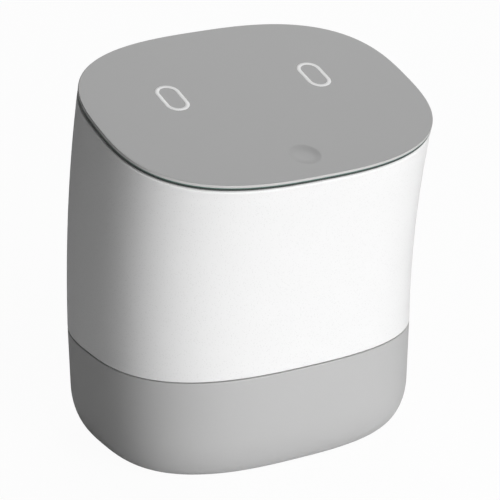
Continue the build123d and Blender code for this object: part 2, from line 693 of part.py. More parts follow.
DECK_HALF_X, DECK_HALF_Y = base_section(DECK_BOTTOM - FOOT_PROUD, BASE_WALL + FIT)
lip_share = body_share(LIP_TOP)
LIP_HALF_X = min(BODY_HALF_WIDTH, body_half_width(lip_share)) - BODY_WALL - FIT
LIP_HALF_Y = min(BODY_HALF_DEPTH, body_half_depth(lip_share)) - BODY_WALL - FIT
POSTS = [(x, y) for x in (-POST_X, POST_X) for y in (-POST_Y, POST_Y)]
GROMMETS = [(x, y) for x in (-GROMMET_X, GROMMET_X) for y in (-GROMMET_Y, GROMMET_Y)]
STANDOFFS = [(x, y) for x in (-STANDOFF_X, STANDOFF_X) for y in STANDOFF_Y]
BOARD_TOP = MAIN_BOARD_Z + MAIN_BOARD_THICK
with BuildPart() as deck:
    with BuildSketch(Plane.XY.offset(DECK_BOTTOM)):
        add(outline(DECK_HALF_X, DECK_HALF_Y))
    extrude(amount=DECK_THICK)
    with BuildSketch(Plane.XY.offset(DECK_TOP)):
        add(outline(LIP_HALF_X, LIP_HALF_Y))
        add(outline(LIP_HALF_X - DECK_LIP_WALL, LIP_HALF_Y - DECK_LIP_WALL), mode=Mode.SUBTRACT)
    extrude(amount=DECK_LIP_HIGH)
    with BuildSketch(Plane.XY.offset(DECK_TOP)):
        with Locations(*BODY_BOSSES):
            Circle(BOSS_RADIUS)
        add(outline(LIP_HALF_X, LIP_HALF_Y), mode=Mode.INTERSECT)
    extrude(amount=DECK_LIP_HIGH)
    with BuildSketch(Plane.XY.offset(FLOOR_TOP)):
        with Locations(*POSTS):
            Circle(POST_RADIUS)
    extrude(amount=DECK_BOTTOM - FLOOR_TOP)
    with BuildSketch(Plane.XY.offset(BOARD_TOP)):
        with Locations(*STANDOFFS):
            Circle(STANDOFF_RADIUS)
    extrude(amount=DECK_BOTTOM - BOARD_TOP)
    with BuildSketch(Plane.XY.offset(FLOOR_TOP)):
        with Locations(*POSTS):
            Circle(PILOT)
    extrude(amount=POST_PILOT_DEPTH, mode=Mode.SUBTRACT)
    with BuildSketch(Plane.XY.offset(BOARD_TOP)):
        with Locations(*STANDOFFS):
            Circle(SMALL_PILOT)
    extrude(amount=STANDOFF_PILOT_DEPTH, mode=Mode.SUBTRACT)
    with BuildSketch(Plane.XY.offset(DECK_BOTTOM)):
        with Locations(*BODY_BOSSES, *GROMMETS):
            Circle(THROUGH)
    extrude(amount=DECK_THICK + DECK_LIP_HIGH, mode=Mode.SUBTRACT)
    with BuildSketch(Plane.XY.offset(DECK_BOTTOM)):
        with Locations((FLEX_X, FLEX_Y)):
            Rectangle(FLEX_SLOT, FLEX_WIDTH + 2 * CLEARANCE_GAP)
        with Locations((LEAD_X, CABINET_Y)):
            Circle(2 * LEAD_RADIUS)
    extrude(amount=DECK_THICK, mode=Mode.SUBTRACT)
keep(deck, "deck")

body_screw_length = BOSS_BOTTOM - DECK_BOTTOM + BOSS_BITE
with BuildPart() as body_screws:
    with Locations(Plane.XY.offset(DECK_BOTTOM)):
        with Locations(*BODY_BOSSES):
            add(screw(SCREW_RADIUS, body_screw_length, SCREW_HEAD_RADIUS, SCREW_HEAD_HIGH))
keep(body_screws, "body_screws")

# === Base ==============================================================================

# Grey shell: a quarter-ellipse lower edge, then slightly drafted walls up to the seam. Inside
# it has a ledge that the deck rests on, and its floor is open for the cover.
BASE_SHELL_HIGH = BASE_TOP - FOOT_PROUD
ROUNDING_ANGLES = (0, 18, 36, 54, 72, 90)
rounding_rises = [BASE_ROUND_UP * (1 - cos(radians(angle))) for angle in ROUNDING_ANGLES]
outer_rises = rounding_rises + [share * BASE_HEIGHT for share in BASE_RINGS] + [BASE_SHELL_HIGH]
LEDGE_RISE = DECK_BOTTOM - FOOT_PROUD
FLOOR_RISE = FLOOR_TOP - FOOT_PROUD
inner_rises = [rise for rise in outer_rises[1:] if rise > FLOOR_RISE + 1]
inner_rises = [FLOOR_RISE] + inner_rises
with BuildPart() as base_shell:
    for rise in outer_rises:
        with BuildSketch(Plane.XY.offset(FOOT_PROUD + rise)):
            add(outline(*base_section(rise, 0)))
    loft()
    for rise in inner_rises:
        with BuildSketch(Plane.XY.offset(FOOT_PROUD + rise)):
            add(outline(*base_section(rise, BASE_WALL + DECK_LEDGE)))
    loft(mode=Mode.SUBTRACT)
    with BuildSketch(Plane.XY.offset(DECK_BOTTOM)):
        add(outline(*base_section(LEDGE_RISE, BASE_WALL)))
    extrude(amount=BASE_TOP - DECK_BOTTOM, mode=Mode.SUBTRACT)
    fillet(base_shell.faces().sort_by(Axis.Z)[-1].outer_wire().edges(), SEAM_EDGE_ROUND)
    with BuildSketch(Plane.XY.offset(FOOT_PROUD)):
        add(outline(FOOT_HALF_X + FIT, FOOT_HALF_Y + FIT))
    extrude(amount=FOOT_RECESS_TOP - FOOT_PROUD, mode=Mode.SUBTRACT)
    with BuildSketch(Plane.XY.offset(FOOT_RECESS_TOP)):
        add(outline(COVER_HALF_X + FIT, COVER_HALF_Y + FIT))
    extrude(amount=COVER_THICK, mode=Mode.SUBTRACT)
    with BuildSketch(Plane.XY.offset(COVER_TOP)):
        add(outline(COVER_HALF_X - COVER_LEDGE, COVER_HALF_Y - COVER_LEDGE))
    extrude(amount=FLOOR_TOP - COVER_TOP, mode=Mode.SUBTRACT)
    with BuildSketch(Plane.XZ.offset(-BODY_HALF_DEPTH - USB_CUT_SPARE)):
        with Locations((0, USB_Z)):
            SlotOverall(
                USB_WIDTH + 2 * (USB_SHELL + CLEARANCE_GAP),
                USB_HIGH + 2 * (USB_SHELL + CLEARANCE_GAP),
            )
    extrude(amount=BASE_WALL + DECK_LEDGE + 2 * USB_CUT_SPARE, mode=Mode.SUBTRACT)
keep(base_shell, "base_shell")

with BuildPart() as base_cover:
    with BuildSketch(Plane.XY.offset(FOOT_RECESS_TOP)):
        add(outline(COVER_HALF_X, COVER_HALF_Y))
    extrude(amount=COVER_THICK)
    with BuildSketch(Plane.XY.offset(COVER_TOP)):
        add(outline(COVER_HALF_X - COVER_LEDGE - FIT, COVER_HALF_Y - COVER_LEDGE - FIT))
    extrude(amount=FLOOR_TOP - COVER_TOP)
    with BuildSketch(Plane.XY.offset(FOOT_RECESS_TOP)):
        with Locations(*POSTS):
            Circle(THROUGH)
    extrude(amount=FLOOR_TOP - FOOT_RECESS_TOP, mode=Mode.SUBTRACT)
    with BuildSketch(Plane.XY.offset(FOOT_RECESS_TOP)):
        with Locations(*POSTS):
            Circle(SCREW_HEAD_RADIUS + CLEARANCE_GAP)
    extrude(amount=SCREW_HEAD_HIGH, mode=Mode.SUBTRACT)
keep(base_cover, "base_cover")

with BuildPart() as base_screws:
    with Locations(Plane.XY.offset(FOOT_RECESS_TOP + SCREW_HEAD_HIGH)):
        with Locations(*POSTS):
            add(screw(SCREW_RADIUS, POST_PILOT_DEPTH - SCREW_SPARE, SCREW_HEAD_RADIUS, SCREW_HEAD_HIGH))
keep(base_screws, "base_screws")

# Rubber foot, a solid pad glued in the recess over the cover and its screws.
with BuildPart() as foot_pad:
    with BuildSketch():
        add(outline(FOOT_HALF_X, FOOT_HALF_Y))
    extrude(amount=FOOT_THICK)
    chamfer(foot_pad.faces().sort_by(Axis.Z)[0].edges(), FOOT_CHAMFER)
keep(foot_pad, "foot_pad")

# Steel weight on the base's floor.
with BuildPart() as ballast_plate:
    with BuildSketch(Plane.XY.offset(FLOOR_TOP)):
        add(outline(COVER_HALF_X + BALLAST_INSET, COVER_HALF_Y + BALLAST_INSET))
        with Locations(*POSTS):
            Circle(POST_RADIUS + FIT, mode=Mode.SUBTRACT)
    extrude(amount=BALLAST_THICK)
keep(ballast_plate, "ballast_plate")

# Main board, hung from the deck's standoffs; a tab at its rear carries the power socket.
board_length = MAIN_BOARD_REAR - MAIN_BOARD_FRONT
board_middle = (MAIN_BOARD_REAR + MAIN_BOARD_FRONT) / 2
usb_mouth = base_section(USB_Z - FOOT_PROUD, USB_RECESS)[1]
tab_end = usb_mouth - USB_OVERHANG
tab_start = MAIN_BOARD_REAR - BOARD_CORNER
with BuildPart() as main_board:
    with BuildSketch(Plane.XY.offset(MAIN_BOARD_Z)):
        with Locations((0, board_middle)):
            RectangleRounded(2 * MAIN_BOARD_HALF_X, board_length, BOARD_CORNER)
        with Locations((0, (tab_start + tab_end) / 2)):
            Rectangle(USB_TAB_WIDTH, tab_end - tab_start)
        with Locations(*STANDOFFS):
            Circle(SMALL_THROUGH, mode=Mode.SUBTRACT)
    extrude(amount=MAIN_BOARD_THICK)
keep(main_board, "main_board")

with BuildPart() as board_screws:
    with Locations(Plane.XY.offset(MAIN_BOARD_Z)):
        with Locations(*STANDOFFS):
            add(screw(SMALL_SCREW_RADIUS, STANDOFF_PILOT_DEPTH, SMALL_HEAD_RADIUS, SMALL_HEAD_HIGH))
keep(board_screws, "board_screws")

shield_inner = SPREADER_SIZE - 2 * SHIELD_WALL
with BuildPart() as shield_can:
    with BuildSketch(Plane.XY.offset(BOARD_TOP)):
        with Locations((0, SHIELD_Y)):
            RectangleRounded(SPREADER_SIZE, SPREADER_SIZE, SHIELD_CORNER)
    extrude(amount=SHIELD_HIGH)
    with BuildSketch(Plane.XY.offset(BOARD_TOP)):
        with Locations((0, SHIELD_Y)):
            RectangleRounded(shield_inner, shield_inner, SHIELD_CORNER - SHIELD_WALL)
    extrude(amount=SHIELD_HIGH - SHIELD_TOP, mode=Mode.SUBTRACT)
keep(shield_can, "shield_can")

# Finned aluminium heat spreader on the shield can.
fin_step = (SPREADER_SIZE - FIN_THICK) / (FIN_COUNT - 1)
with BuildPart() as heat_spreader:
    with BuildSketch(Plane.XY.offset(BOARD_TOP + SHIELD_HIGH)):
        with Locations((0, SHIELD_Y)):
            Rectangle(SPREADER_SIZE, SPREADER_SIZE)
    extrude(amount=SPREADER_BASE)
    with BuildSketch(Plane.XY.offset(BOARD_TOP + SHIELD_HIGH + SPREADER_BASE)):
        with Locations((0, SHIELD_Y)):
            with GridLocations(fin_step, 0, FIN_COUNT, 1):
                Rectangle(FIN_THICK, SPREADER_SIZE)
    extrude(amount=SPREADER_HIGH - SPREADER_BASE)
keep(heat_spreader, "heat_spreader")

with BuildPart() as board_chips:
    with BuildSketch(Plane.XY.offset(BOARD_TOP)):
        with Locations((0, SHIELD_Y)):
            Rectangle(PROCESSOR_SIZE, PROCESSOR_SIZE)
        with Locations(*CHIP_PLACES):
            Rectangle(*CHIP_SIZE)
    extrude(amount=CHIP_HIGH)
    with BuildSketch(Plane.XY.offset(BOARD_TOP)):
        with Locations(*CAPACITOR_PLACES):
            Circle(CAPACITOR_RADIUS)
    extrude(amount=CAPACITOR_HIGH)
keep(board_chips, "board_chips")

# Power socket: a steel shell with a tongue, its mouth just inside the base's back.
with BuildPart() as usb_socket:
    with BuildSketch(Plane.XZ.offset(-usb_mouth)):
        with Locations((0, USB_Z)):
            SlotOverall(USB_WIDTH + 2 * USB_SHELL, USB_HIGH + 2 * USB_SHELL)
    extrude(amount=USB_LENGTH)
    with BuildSketch(Plane.XZ.offset(-usb_mouth)):
        with Locations((0, USB_Z)):
            SlotOverall(USB_WIDTH, USB_HIGH)
    extrude(amount=USB_LENGTH - USB_BACK, mode=Mode.SUBTRACT)
keep(usb_socket, "usb_socket")
with BuildPart() as usb_tongue:
    with BuildSketch(Plane.XZ.offset(TONGUE_RECESS - usb_mouth)):
        with Locations((0, USB_Z)):
            RectangleRounded(TONGUE_WIDTH, TONGUE_THICK, TONGUE_ROUND)
    extrude(amount=USB_LENGTH - USB_BACK - TONGUE_RECESS)
keep(usb_tongue, "usb_tongue")

# === Speaker cabinet ===================================================================

# Closed tub on rubber grommets. The passive radiator's opening is in its back wall.
CABINET_SCREW_X = CABINET_HALF_X - CABINET_SCREW_INSET
CABINET_SCREWS = [
    (x, CABINET_Y + y)
    for x in (-CABINET_SCREW_X, CABINET_SCREW_X)
    for y in (-CABINET_SCREW_Y, CABINET_SCREW_Y)
]
with BuildPart() as cabinet_tub:
    add(rounded_prism(CABINET_HALF_X, CABINET_HALF_Y, CABINET_CORNER, CABINET_BOTTOM, TUB_TOP))
    add(
        rounded_prism(
            CABINET_HALF_X - CABINET_WALL,
            CABINET_HALF_Y - CABINET_WALL,
            CABINET_CORNER - CABINET_WALL,
            CABINET_BOTTOM + CABINET_WALL,
            TUB_TOP,
        ),
        mode=Mode.SUBTRACT,
    )
    with BuildSketch(Plane.XY.offset(CABINET_BOTTOM)):
        with Locations(*CABINET_SCREWS):
            Circle(STANDOFF_RADIUS)
    extrude(amount=CABINET_HIGH)
    with BuildSketch(Plane.XY.offset(DECK_TOP + GROMMET_HIGH)):
        with Locations(*GROMMETS):
            Circle(GROMMET_RADIUS)
    extrude(amount=CABINET_FOOT_HIGH)
    with BuildSketch(Plane.XY.offset(DECK_TOP + GROMMET_HIGH)):
        with Locations(*GROMMETS):
            Circle(PILOT)
    extrude(amount=CABINET_FOOT_HIGH - BLIND_END, mode=Mode.SUBTRACT)
    with BuildSketch(Plane.XY.offset(TUB_TOP - LID_PILOT_DEPTH)):
        with Locations(*CABINET_SCREWS):
            Circle(PILOT)
    extrude(amount=LID_PILOT_DEPTH, mode=Mode.SUBTRACT)
    with BuildSketch(Plane.XY.offset(CABINET_BOTTOM)):
        with Locations((LEAD_X, CABINET_Y)):
            Circle(GLAND_RADIUS)
    extrude(amount=CABINET_WALL, mode=Mode.SUBTRACT)
    with BuildSketch(Plane.XZ.offset(-CABINET_REAR)):
        with Locations((0, RADIATOR_Z)):
            Circle(RADIATOR_OPENING)
    extrude(amount=CABINET_WALL, mode=Mode.SUBTRACT)
keep(cabinet_tub, "cabinet_tub")

with BuildPart() as cabinet_gasket:
    with BuildSketch(Plane((0, CABINET_Y, TUB_TOP))):
        RectangleRounded(2 * CABINET_HALF_X, 2 * CABINET_HALF_Y, CABINET_CORNER)
        RectangleRounded(
            2 * (CABINET_HALF_X - CABINET_WALL),
            2 * (CABINET_HALF_Y - CABINET_WALL),
            CABINET_CORNER - CABINET_WALL,
            mode=Mode.SUBTRACT,
        )
    extrude(amount=GASKET_THICK)
keep(cabinet_gasket, "cabinet_gasket")

with BuildPart() as cabinet_lid:
    add(rounded_prism(CABINET_HALF_X, CABINET_HALF_Y, CABINET_CORNER, LID_BOTTOM, LID_TOP))
    fillet(cabinet_lid.faces().sort_by(Axis.Z)[-1].edges(), LID_ROUND)
    with BuildSketch(Plane.XY.offset(LID_BOTTOM)):
        with Locations(*CABINET_SCREWS):
            Circle(THROUGH)
        with Locations((0, CABINET_Y)):
            Circle(DRIVER_CUTOUT)
            with PolarLocations(DRIVER_SCREW_CIRCLE, 4, 45):
                Circle(SMALL_PILOT)
    extrude(amount=LID_THICK, mode=Mode.SUBTRACT)
keep(cabinet_lid, "cabinet_lid")

with BuildPart() as cabinet_screws:
    with Locations(down(Plane.XY.offset(LID_TOP))):
        with Locations(*[(x, -y) for x, y in CABINET_SCREWS]):
            add(screw(SCREW_RADIUS, LID_PILOT_DEPTH, SCREW_HEAD_RADIUS, SCREW_HEAD_HIGH))
keep(cabinet_screws, "cabinet_screws")

with BuildPart() as cabinet_grommets:
    with BuildSketch(Plane.XY.offset(DECK_TOP)):
        with Locations(*GROMMETS):
            Circle(GROMMET_RADIUS)
            Circle(THROUGH, mode=Mode.SUBTRACT)
    extrude(amount=GROMMET_HIGH)
keep(cabinet_grommets, "cabinet_grommets")

with BuildPart() as cabinet_mount_screws:
    with Locations(Plane.XY.offset(DECK_BOTTOM)):
        with Locations(*GROMMETS):
            add(
                screw(
                    SCREW_RADIUS,
                    DECK_THICK + GROMMET_HIGH + CABINET_FOOT_HIGH - BLIND_END - SCREW_SPARE,
                    SCREW_HEAD_RADIUS,
                    SCREW_HEAD_HIGH,
                )
            )
keep(cabinet_mount_screws, "cabinet_mount_screws")

# Felt slab that damps the air inside, against the front wall.
with BuildPart() as wadding:
    with BuildSketch(Plane.XY.offset(CABINET_BOTTOM + CABINET_WALL)):
        with Locations((0, CABINET_Y - CABINET_HALF_Y + CABINET_WALL + WADDING_THICK / 2)):
            RectangleRounded(WADDING_WIDTH, WADDING_THICK, WADDING_ROUND)
    extrude(amount=WADDING_HIGH)
    fillet(wadding.faces().sort_by(Axis.Z)[-1].edges(), WADDING_ROUND)
keep(wadding, "wadding")

# === Driver, turned about an upright axis ==============================================

DRIVER_AXIS = Axis((0, CABINET_Y, 0), (0, 0, 1))
DRIVER_HALF = Plane.XZ.offset(-CABINET_Y)
GAP_INNER = COIL_RADIUS
GAP_OUTER = COIL_RADIUS + COIL_WALL
basket_foot = MOTOR_RADIUS + BASKET_WALL
flange_bottom = FLANGE_TOP - FLANGE_THICK

with BuildPart() as driver_gasket:
    with BuildSketch(Plane((0, CABINET_Y, LID_TOP))):
        Circle(FLANGE_RADIUS)
        Circle(DRIVER_CUTOUT, mode=Mode.SUBTRACT)
        with PolarLocations(DRIVER_SCREW_CIRCLE, 4, 45):
            Circle(SMALL_THROUGH, mode=Mode.SUBTRACT)
    extrude(amount=GASKET_THICK)
keep(driver_gasket, "driver_gasket")

# Pressed steel basket: a flat flange and a cone with six windows down to the motor.
with BuildPart() as driver_basket:
    with BuildSketch(DRIVER_HALF):
        with BuildLine():
            Polyline(
                (BASKET_INNER, FLANGE_TOP),
                (FLANGE_RADIUS, FLANGE_TOP),
                (FLANGE_RADIUS, flange_bottom),
                (BASKET_INNER + BASKET_WALL, flange_bottom),
                (basket_foot + BASKET_WALL, TOP_PLATE_TOP),
                (basket_foot - BASKET_SEAT, TOP_PLATE_TOP),
                (basket_foot - BASKET_SEAT, TOP_PLATE_TOP + BASKET_WALL),
                (basket_foot, TOP_PLATE_TOP + BASKET_WALL),
                (BASKET_INNER, flange_bottom),
                close=True,
            )
        make_face()
    revolve(axis=DRIVER_AXIS)
    with BuildSketch(Plane((0, CABINET_Y, TOP_PLATE_TOP + WINDOW_SILL))):
        with PolarLocations(basket_foot + WINDOW_OUT, WINDOW_COUNT, 180 / WINDOW_COUNT):
            RectangleRounded(WINDOW_LENGTH, WINDOW_WIDTH, WINDOW_CORNER)
    extrude(amount=BASKET_DEPTH - FLANGE_THICK - WINDOW_SILL - WINDOW_HEAD, mode=Mode.SUBTRACT)
    with BuildSketch(Plane((0, CABINET_Y, flange_bottom))):
        with PolarLocations(DRIVER_SCREW_CIRCLE, 4, 45):
            Circle(SMALL_THROUGH)
    extrude(amount=FLANGE_THICK, mode=Mode.SUBTRACT)
keep(driver_basket, "driver_basket")

driver_screw_length = FLANGE_THICK + GASKET_THICK + DRIVER_SCREW_BITE
with BuildPart() as driver_screws:
    with Locations(down(Plane((0, CABINET_Y, FLANGE_TOP), x_dir=(1, 0, 0), z_dir=(0, 0, 1)))):
        with PolarLocations(DRIVER_SCREW_CIRCLE, 4, 45):
            add(screw(SMALL_SCREW_RADIUS, driver_screw_length, SMALL_HEAD_RADIUS, SMALL_HEAD_HIGH))
keep(driver_screws, "driver_screws")

# The motor: top plate, ring magnet, and the yoke with its pole up the middle.
with BuildPart() as driver_top_plate:
    with BuildSketch(Plane((0, CABINET_Y, MAGNET_TOP))):
        Circle(MOTOR_RADIUS)
        Circle(GAP_OUTER + COIL_GAP, mode=Mode.SUBTRACT)
    extrude(amount=TOP_PLATE_THICK)
    chamfer(driver_top_plate.edges().filter_by(GeomType.CIRCLE).group_by(SortBy.RADIUS)[-1], 0.3)
keep(driver_top_plate, "driver_top_plate")
with BuildPart() as driver_magnet:
    with BuildSketch(Plane((0, CABINET_Y, BACK_PLATE_TOP))):
        Circle(MOTOR_RADIUS - MAGNET_INSET)
        Circle(GAP_OUTER + MAGNET_GAP, mode=Mode.SUBTRACT)
    extrude(amount=MAGNET_THICK)
    chamfer(driver_magnet.edges().filter_by(GeomType.CIRCLE).group_by(SortBy.RADIUS)[-1], 0.6)
keep(driver_magnet, "driver_magnet")
with BuildPart() as driver_yoke:
    with BuildSketch(Plane((0, CABINET_Y, BACK_PLATE_BOTTOM))):
        Circle(MOTOR_RADIUS)
    extrude(amount=BACK_PLATE_THICK)
    chamfer(driver_yoke.edges(), PART_CHAMFER)
    with BuildSketch(Plane((0, CABINET_Y, BACK_PLATE_TOP))):
        Circle(GAP_INNER - COIL_GAP)
    extrude(amount=TOP_PLATE_TOP - BACK_PLATE_TOP)
    chamfer(driver_yoke.faces().sort_by(Axis.Z)[-1].edges(), 0.5)
keep(driver_yoke, "driver_yoke")

# Moving parts. The former carries the winding in the motor's gap and the cone at its neck.
coil_bottom = TOP_PLATE_TOP - TOP_PLATE_THICK / 2 - COIL_LENGTH / 2
coil_top = coil_bottom + COIL_LENGTH
former_wall = COIL_WALL / 2
with BuildPart() as voice_coil:
    with BuildSketch(DRIVER_HALF):
        with BuildLine():
            Polyline(
                (GAP_INNER, coil_bottom),
                (GAP_OUTER, coil_bottom),
                (GAP_OUTER, coil_top),
                (GAP_INNER + former_wall, coil_top),
                (GAP_INNER + former_wall, NECK_Z + FORMER_NECK),
                (GAP_INNER, NECK_Z + FORMER_NECK),
                close=True,
            )
        make_face()
    revolve(axis=DRIVER_AXIS)
keep(voice_coil, "voice_coil")

cone_foot = GAP_INNER + former_wall
cone_lip = FLANGE_TOP - CONE_THICK
with BuildPart() as cone:
    with BuildSketch(DRIVER_HALF):
        with BuildLine():
            Polyline(
                (cone_foot, NECK_Z),
                (cone_foot, NECK_Z + CONE_THICK),
                (CONE_RADIUS - CONE_RIM, FLANGE_TOP),
                (CONE_RADIUS, FLANGE_TOP),
                (CONE_RADIUS, cone_lip),
                (CONE_RADIUS - CONE_LAND, cone_lip),
                close=True,
            )
        make_face()
    revolve(axis=DRIVER_AXIS)
keep(cone, "cone")

# Domed cap over the coil, glued where the cone has widened to the cap's radius.
with BuildPart() as dust_cap:
    with BuildSketch(DRIVER_HALF):
        with BuildLine():
            ThreePointArc(
                (-CAP_RADIUS, CAP_Z),
                (0, CAP_Z + CAP_HIGH),
                (CAP_RADIUS, CAP_Z),
            )
            Line((CAP_RADIUS, CAP_Z), (CAP_RADIUS - CONE_THICK, CAP_Z))
            ThreePointArc(
                (CAP_RADIUS - CONE_THICK, CAP_Z),
                (0, CAP_Z + CAP_HIGH - CONE_THICK),
                (CONE_THICK - CAP_RADIUS, CAP_Z),
            )
            Line((CONE_THICK - CAP_RADIUS, CAP_Z), (-CAP_RADIUS, CAP_Z))
        make_face()
        with Locations((-CAP_RADIUS, CAP_Z)):
            Rectangle(2 * CAP_RADIUS, 4 * CAP_HIGH, mode=Mode.SUBTRACT)
    revolve(axis=DRIVER_AXIS)
keep(dust_cap, "dust_cap")


def half_roll(inner, outer, thick, height, land_inner, land_outer):
    """Profile of a soft roll between two radii, with a flat land glued down on each side."""
    middle = (inner + outer) / 2
    reach = (outer - inner) / 2
    with BuildSketch() as profile:
        with BuildLine():
            Line((land_inner, height), (inner, height))
            ThreePointArc((inner, height), (middle, height + reach), (outer, height))
            Line((outer, height), (land_outer, height))
            Line((land_outer, height), (land_outer, height + thick))
            Line((land_outer, height + thick), (outer + thick, height + thick))
            ThreePointArc(
                (outer + thick, height + thick),
                (middle, height + reach + thick),
                (inner - thick, height + thick),
            )
            Line((inner - thick, height + thick), (land_inner, height + thick))
            Line((land_inner, height + thick), (land_inner, height))
        make_face()
    return profile.sketch


with BuildPart() as cone_surround:
    with BuildSketch(DRIVER_HALF):
        add(
            half_roll(
                CONE_RADIUS,
                CONE_RADIUS + ROLL_WIDTH,
                ROLL_THICK,
                FLANGE_TOP,
                CONE_RADIUS - CONE_LAND,
                FLANGE_RADIUS - SURROUND_INSET,
            )
        )
    revolve(axis=DRIVER_AXIS)
keep(cone_surround, "cone_surround")

# Corrugated spider that centres the coil, from the former out to the basket.
spider_z = coil_top + SPIDER_RISE
basket_floor = TOP_PLATE_TOP + BASKET_WALL
basket_flare = (BASKET_INNER - basket_foot) / (flange_bottom - basket_floor)
spider_outer = basket_foot + (spider_z - basket_floor) * basket_flare
wave = (spider_outer - cone_foot) / (2 * SPIDER_WAVES)
with BuildPart() as spider:
    with BuildSketch(DRIVER_HALF):
        for turn in range(2 * SPIDER_WAVES):
            lift = SPIDER_LIFT if turn % 2 else -SPIDER_LIFT
            start = cone_foot + turn * wave
            with BuildLine():
                Polyline(
                    (start, spider_z),
                    (start + wave / 2, spider_z + lift),
                    (start + wave, spider_z),
                    (start + wave, spider_z + SPIDER_THICK),
                    (start + wave / 2, spider_z + lift + SPIDER_THICK),
                    (start, spider_z + SPIDER_THICK),
                    close=True,
                )
            make_face()
    revolve(axis=DRIVER_AXIS)
keep(spider, "spider")

# Terminal block, shaped to the basket's outside at the rib nearest the lead.
terminal_length = TERMINAL_OUT - basket_foot
with BuildPart() as driver_terminals:
    with BuildSketch(Plane((TERMINAL_OUT - terminal_length / 2, CABINET_Y, TERMINAL_Z))):
        Rectangle(terminal_length, TERMINAL_WIDTH)
    extrude(amount=TERMINAL_HIGH)
    with BuildSketch(DRIVER_HALF):
        with BuildLine():
            Polyline(
                (0, TOP_PLATE_TOP),
                (basket_foot + BASKET_WALL, TOP_PLATE_TOP),
                (BASKET_INNER + BASKET_WALL, flange_bottom),
                (0, flange_bottom),
                close=True,
            )
        make_face()
    revolve(axis=DRIVER_AXIS, mode=Mode.SUBTRACT)
keep(driver_terminals, "driver_terminals")

# === Passive radiator, turned about an axis from front to back =========================

RADIATOR_AXIS = Axis((0, 0, RADIATOR_Z), (0, 1, 0))
frame_back = CABINET_REAR + RADIATOR_FRAME_THICK
piston_front = frame_back - RADIATOR_PISTON_THICK
with BuildPart() as radiator_frame:
    with BuildSketch(Plane.XZ.offset(-frame_back)):
        with Locations((0, RADIATOR_Z)):
            Circle(RADIATOR_FRAME)
            Circle(RADIATOR_OPENING, mode=Mode.SUBTRACT)
    extrude(amount=RADIATOR_FRAME_THICK)
    chamfer(radiator_frame.edges().group_by(Axis.Y)[-1].sort_by(SortBy.RADIUS)[-1], PART_CHAMFER)
keep(radiator_frame, "radiator_frame")
with BuildPart() as radiator_piston:
    with BuildSketch(Plane.XZ.offset(-frame_back)):
        with Locations((0, RADIATOR_Z)):
            Circle(RADIATOR_PISTON)
    extrude(amount=RADIATOR_PISTON_THICK)
    chamfer(radiator_piston.edges().group_by(Axis.Y)[0], 0.4)
keep(radiator_piston, "radiator_piston")
with BuildPart() as radiator_weight:
    with BuildSketch(Plane.XZ.offset(-piston_front)):
        with Locations((0, RADIATOR_Z)):
            Circle(RADIATOR_WEIGHT_RADIUS)
    extrude(amount=RADIATOR_WEIGHT_THICK)
    chamfer(radiator_weight.edges().group_by(Axis.Y)[0], 0.4)
keep(radiator_weight, "radiator_weight")
radiator_half = Plane(origin=(0, 0, RADIATOR_Z), x_dir=(1, 0, 0), z_dir=(0, 0, 1))
with BuildPart() as radiator_surround:
    with BuildSketch(radiator_half):
        add(
            half_roll(
                RADIATOR_PISTON,
                RADIATOR_PISTON + RADIATOR_ROLL,
                ROLL_THICK,
                frame_back,
                RADIATOR_PISTON - CONE_LAND,
                RADIATOR_OPENING + RADIATOR_LAND,
            )
        )
    revolve(axis=RADIATOR_AXIS)
keep(radiator_surround, "radiator_surround")

# === Diffuser ==========================================================================

# A trumpet-shaped cone hanging point down over the driver, on three legs that stand on the lid.
diffuser_edge = LEG_CIRCLE + LEG_RADIUS + DIFFUSER_BRIM
flare_radius = 0.45 * DIFFUSER_RADIUS
flare_z = DIFFUSER_TIP + 0.72 * DIFFUSER_RISE
with BuildPart() as diffuser:
    with BuildSketch(DRIVER_HALF):
        with BuildLine():
            Line((0, DIFFUSER_TOP), (diffuser_edge, DIFFUSER_TOP))
            Line((diffuser_edge, DIFFUSER_TOP), (diffuser_edge, DIFFUSER_TOP - DIFFUSER_THICK))
            Line(
                (diffuser_edge, DIFFUSER_TOP - DIFFUSER_THICK),
                (DIFFUSER_RADIUS, DIFFUSER_TOP - DIFFUSER_THICK),
            )
            ThreePointArc(
                (DIFFUSER_RADIUS, DIFFUSER_TOP - DIFFUSER_THICK),
                (flare_radius, flare_z),
                (DIFFUSER_NOSE, DIFFUSER_TIP),
            )
            Line((DIFFUSER_NOSE, DIFFUSER_TIP), (0, DIFFUSER_TIP))
            Line((0, DIFFUSER_TIP), (0, DIFFUSER_TOP))
        make_face()
    revolve(axis=DRIVER_AXIS)
    with BuildSketch(Plane((0, CABINET_Y, DIFFUSER_TOP))):
        Circle(DIFFUSER_RADIUS - 2 * DIFFUSER_THICK)
    extrude(amount=-DIFFUSER_THICK, taper=20, mode=Mode.SUBTRACT)
    with BuildSketch(Plane((0, CABINET_Y, LID_TOP))):
        with PolarLocations(LEG_CIRCLE, 3, 30):
            Circle(LEG_RADIUS)
    extrude(amount=DIFFUSER_TOP - LID_TOP - DIFFUSER_THICK / 2)
keep(diffuser, "diffuser")

# === Leads and antennas ================================================================

# Speaker lead: up from its plug on the main board, through the gland, to the terminals.
lead_start = BOARD_TOP + PLUG_HIGH
lead_points = [
    (LEAD_X, lead_start),
    (LEAD_X, CABINET_BOTTOM + LEAD_STRAIGHT),
    (TERMINAL_X, CABINET_BOTTOM + LEAD_STRAIGHT + LEAD_SHIFT),
    (TERMINAL_X, TERMINAL_Z),
]
with BuildPart() as speaker_lead:
    with BuildLine(DRIVER_HALF) as lead_path:
        FilletPolyline(*lead_points, radius=LEAD_BEND)
    with BuildSketch(Plane((LEAD_X, CABINET_Y, lead_start))):
        Circle(LEAD_RADIUS)
    sweep()
keep(speaker_lead, "speaker_lead")

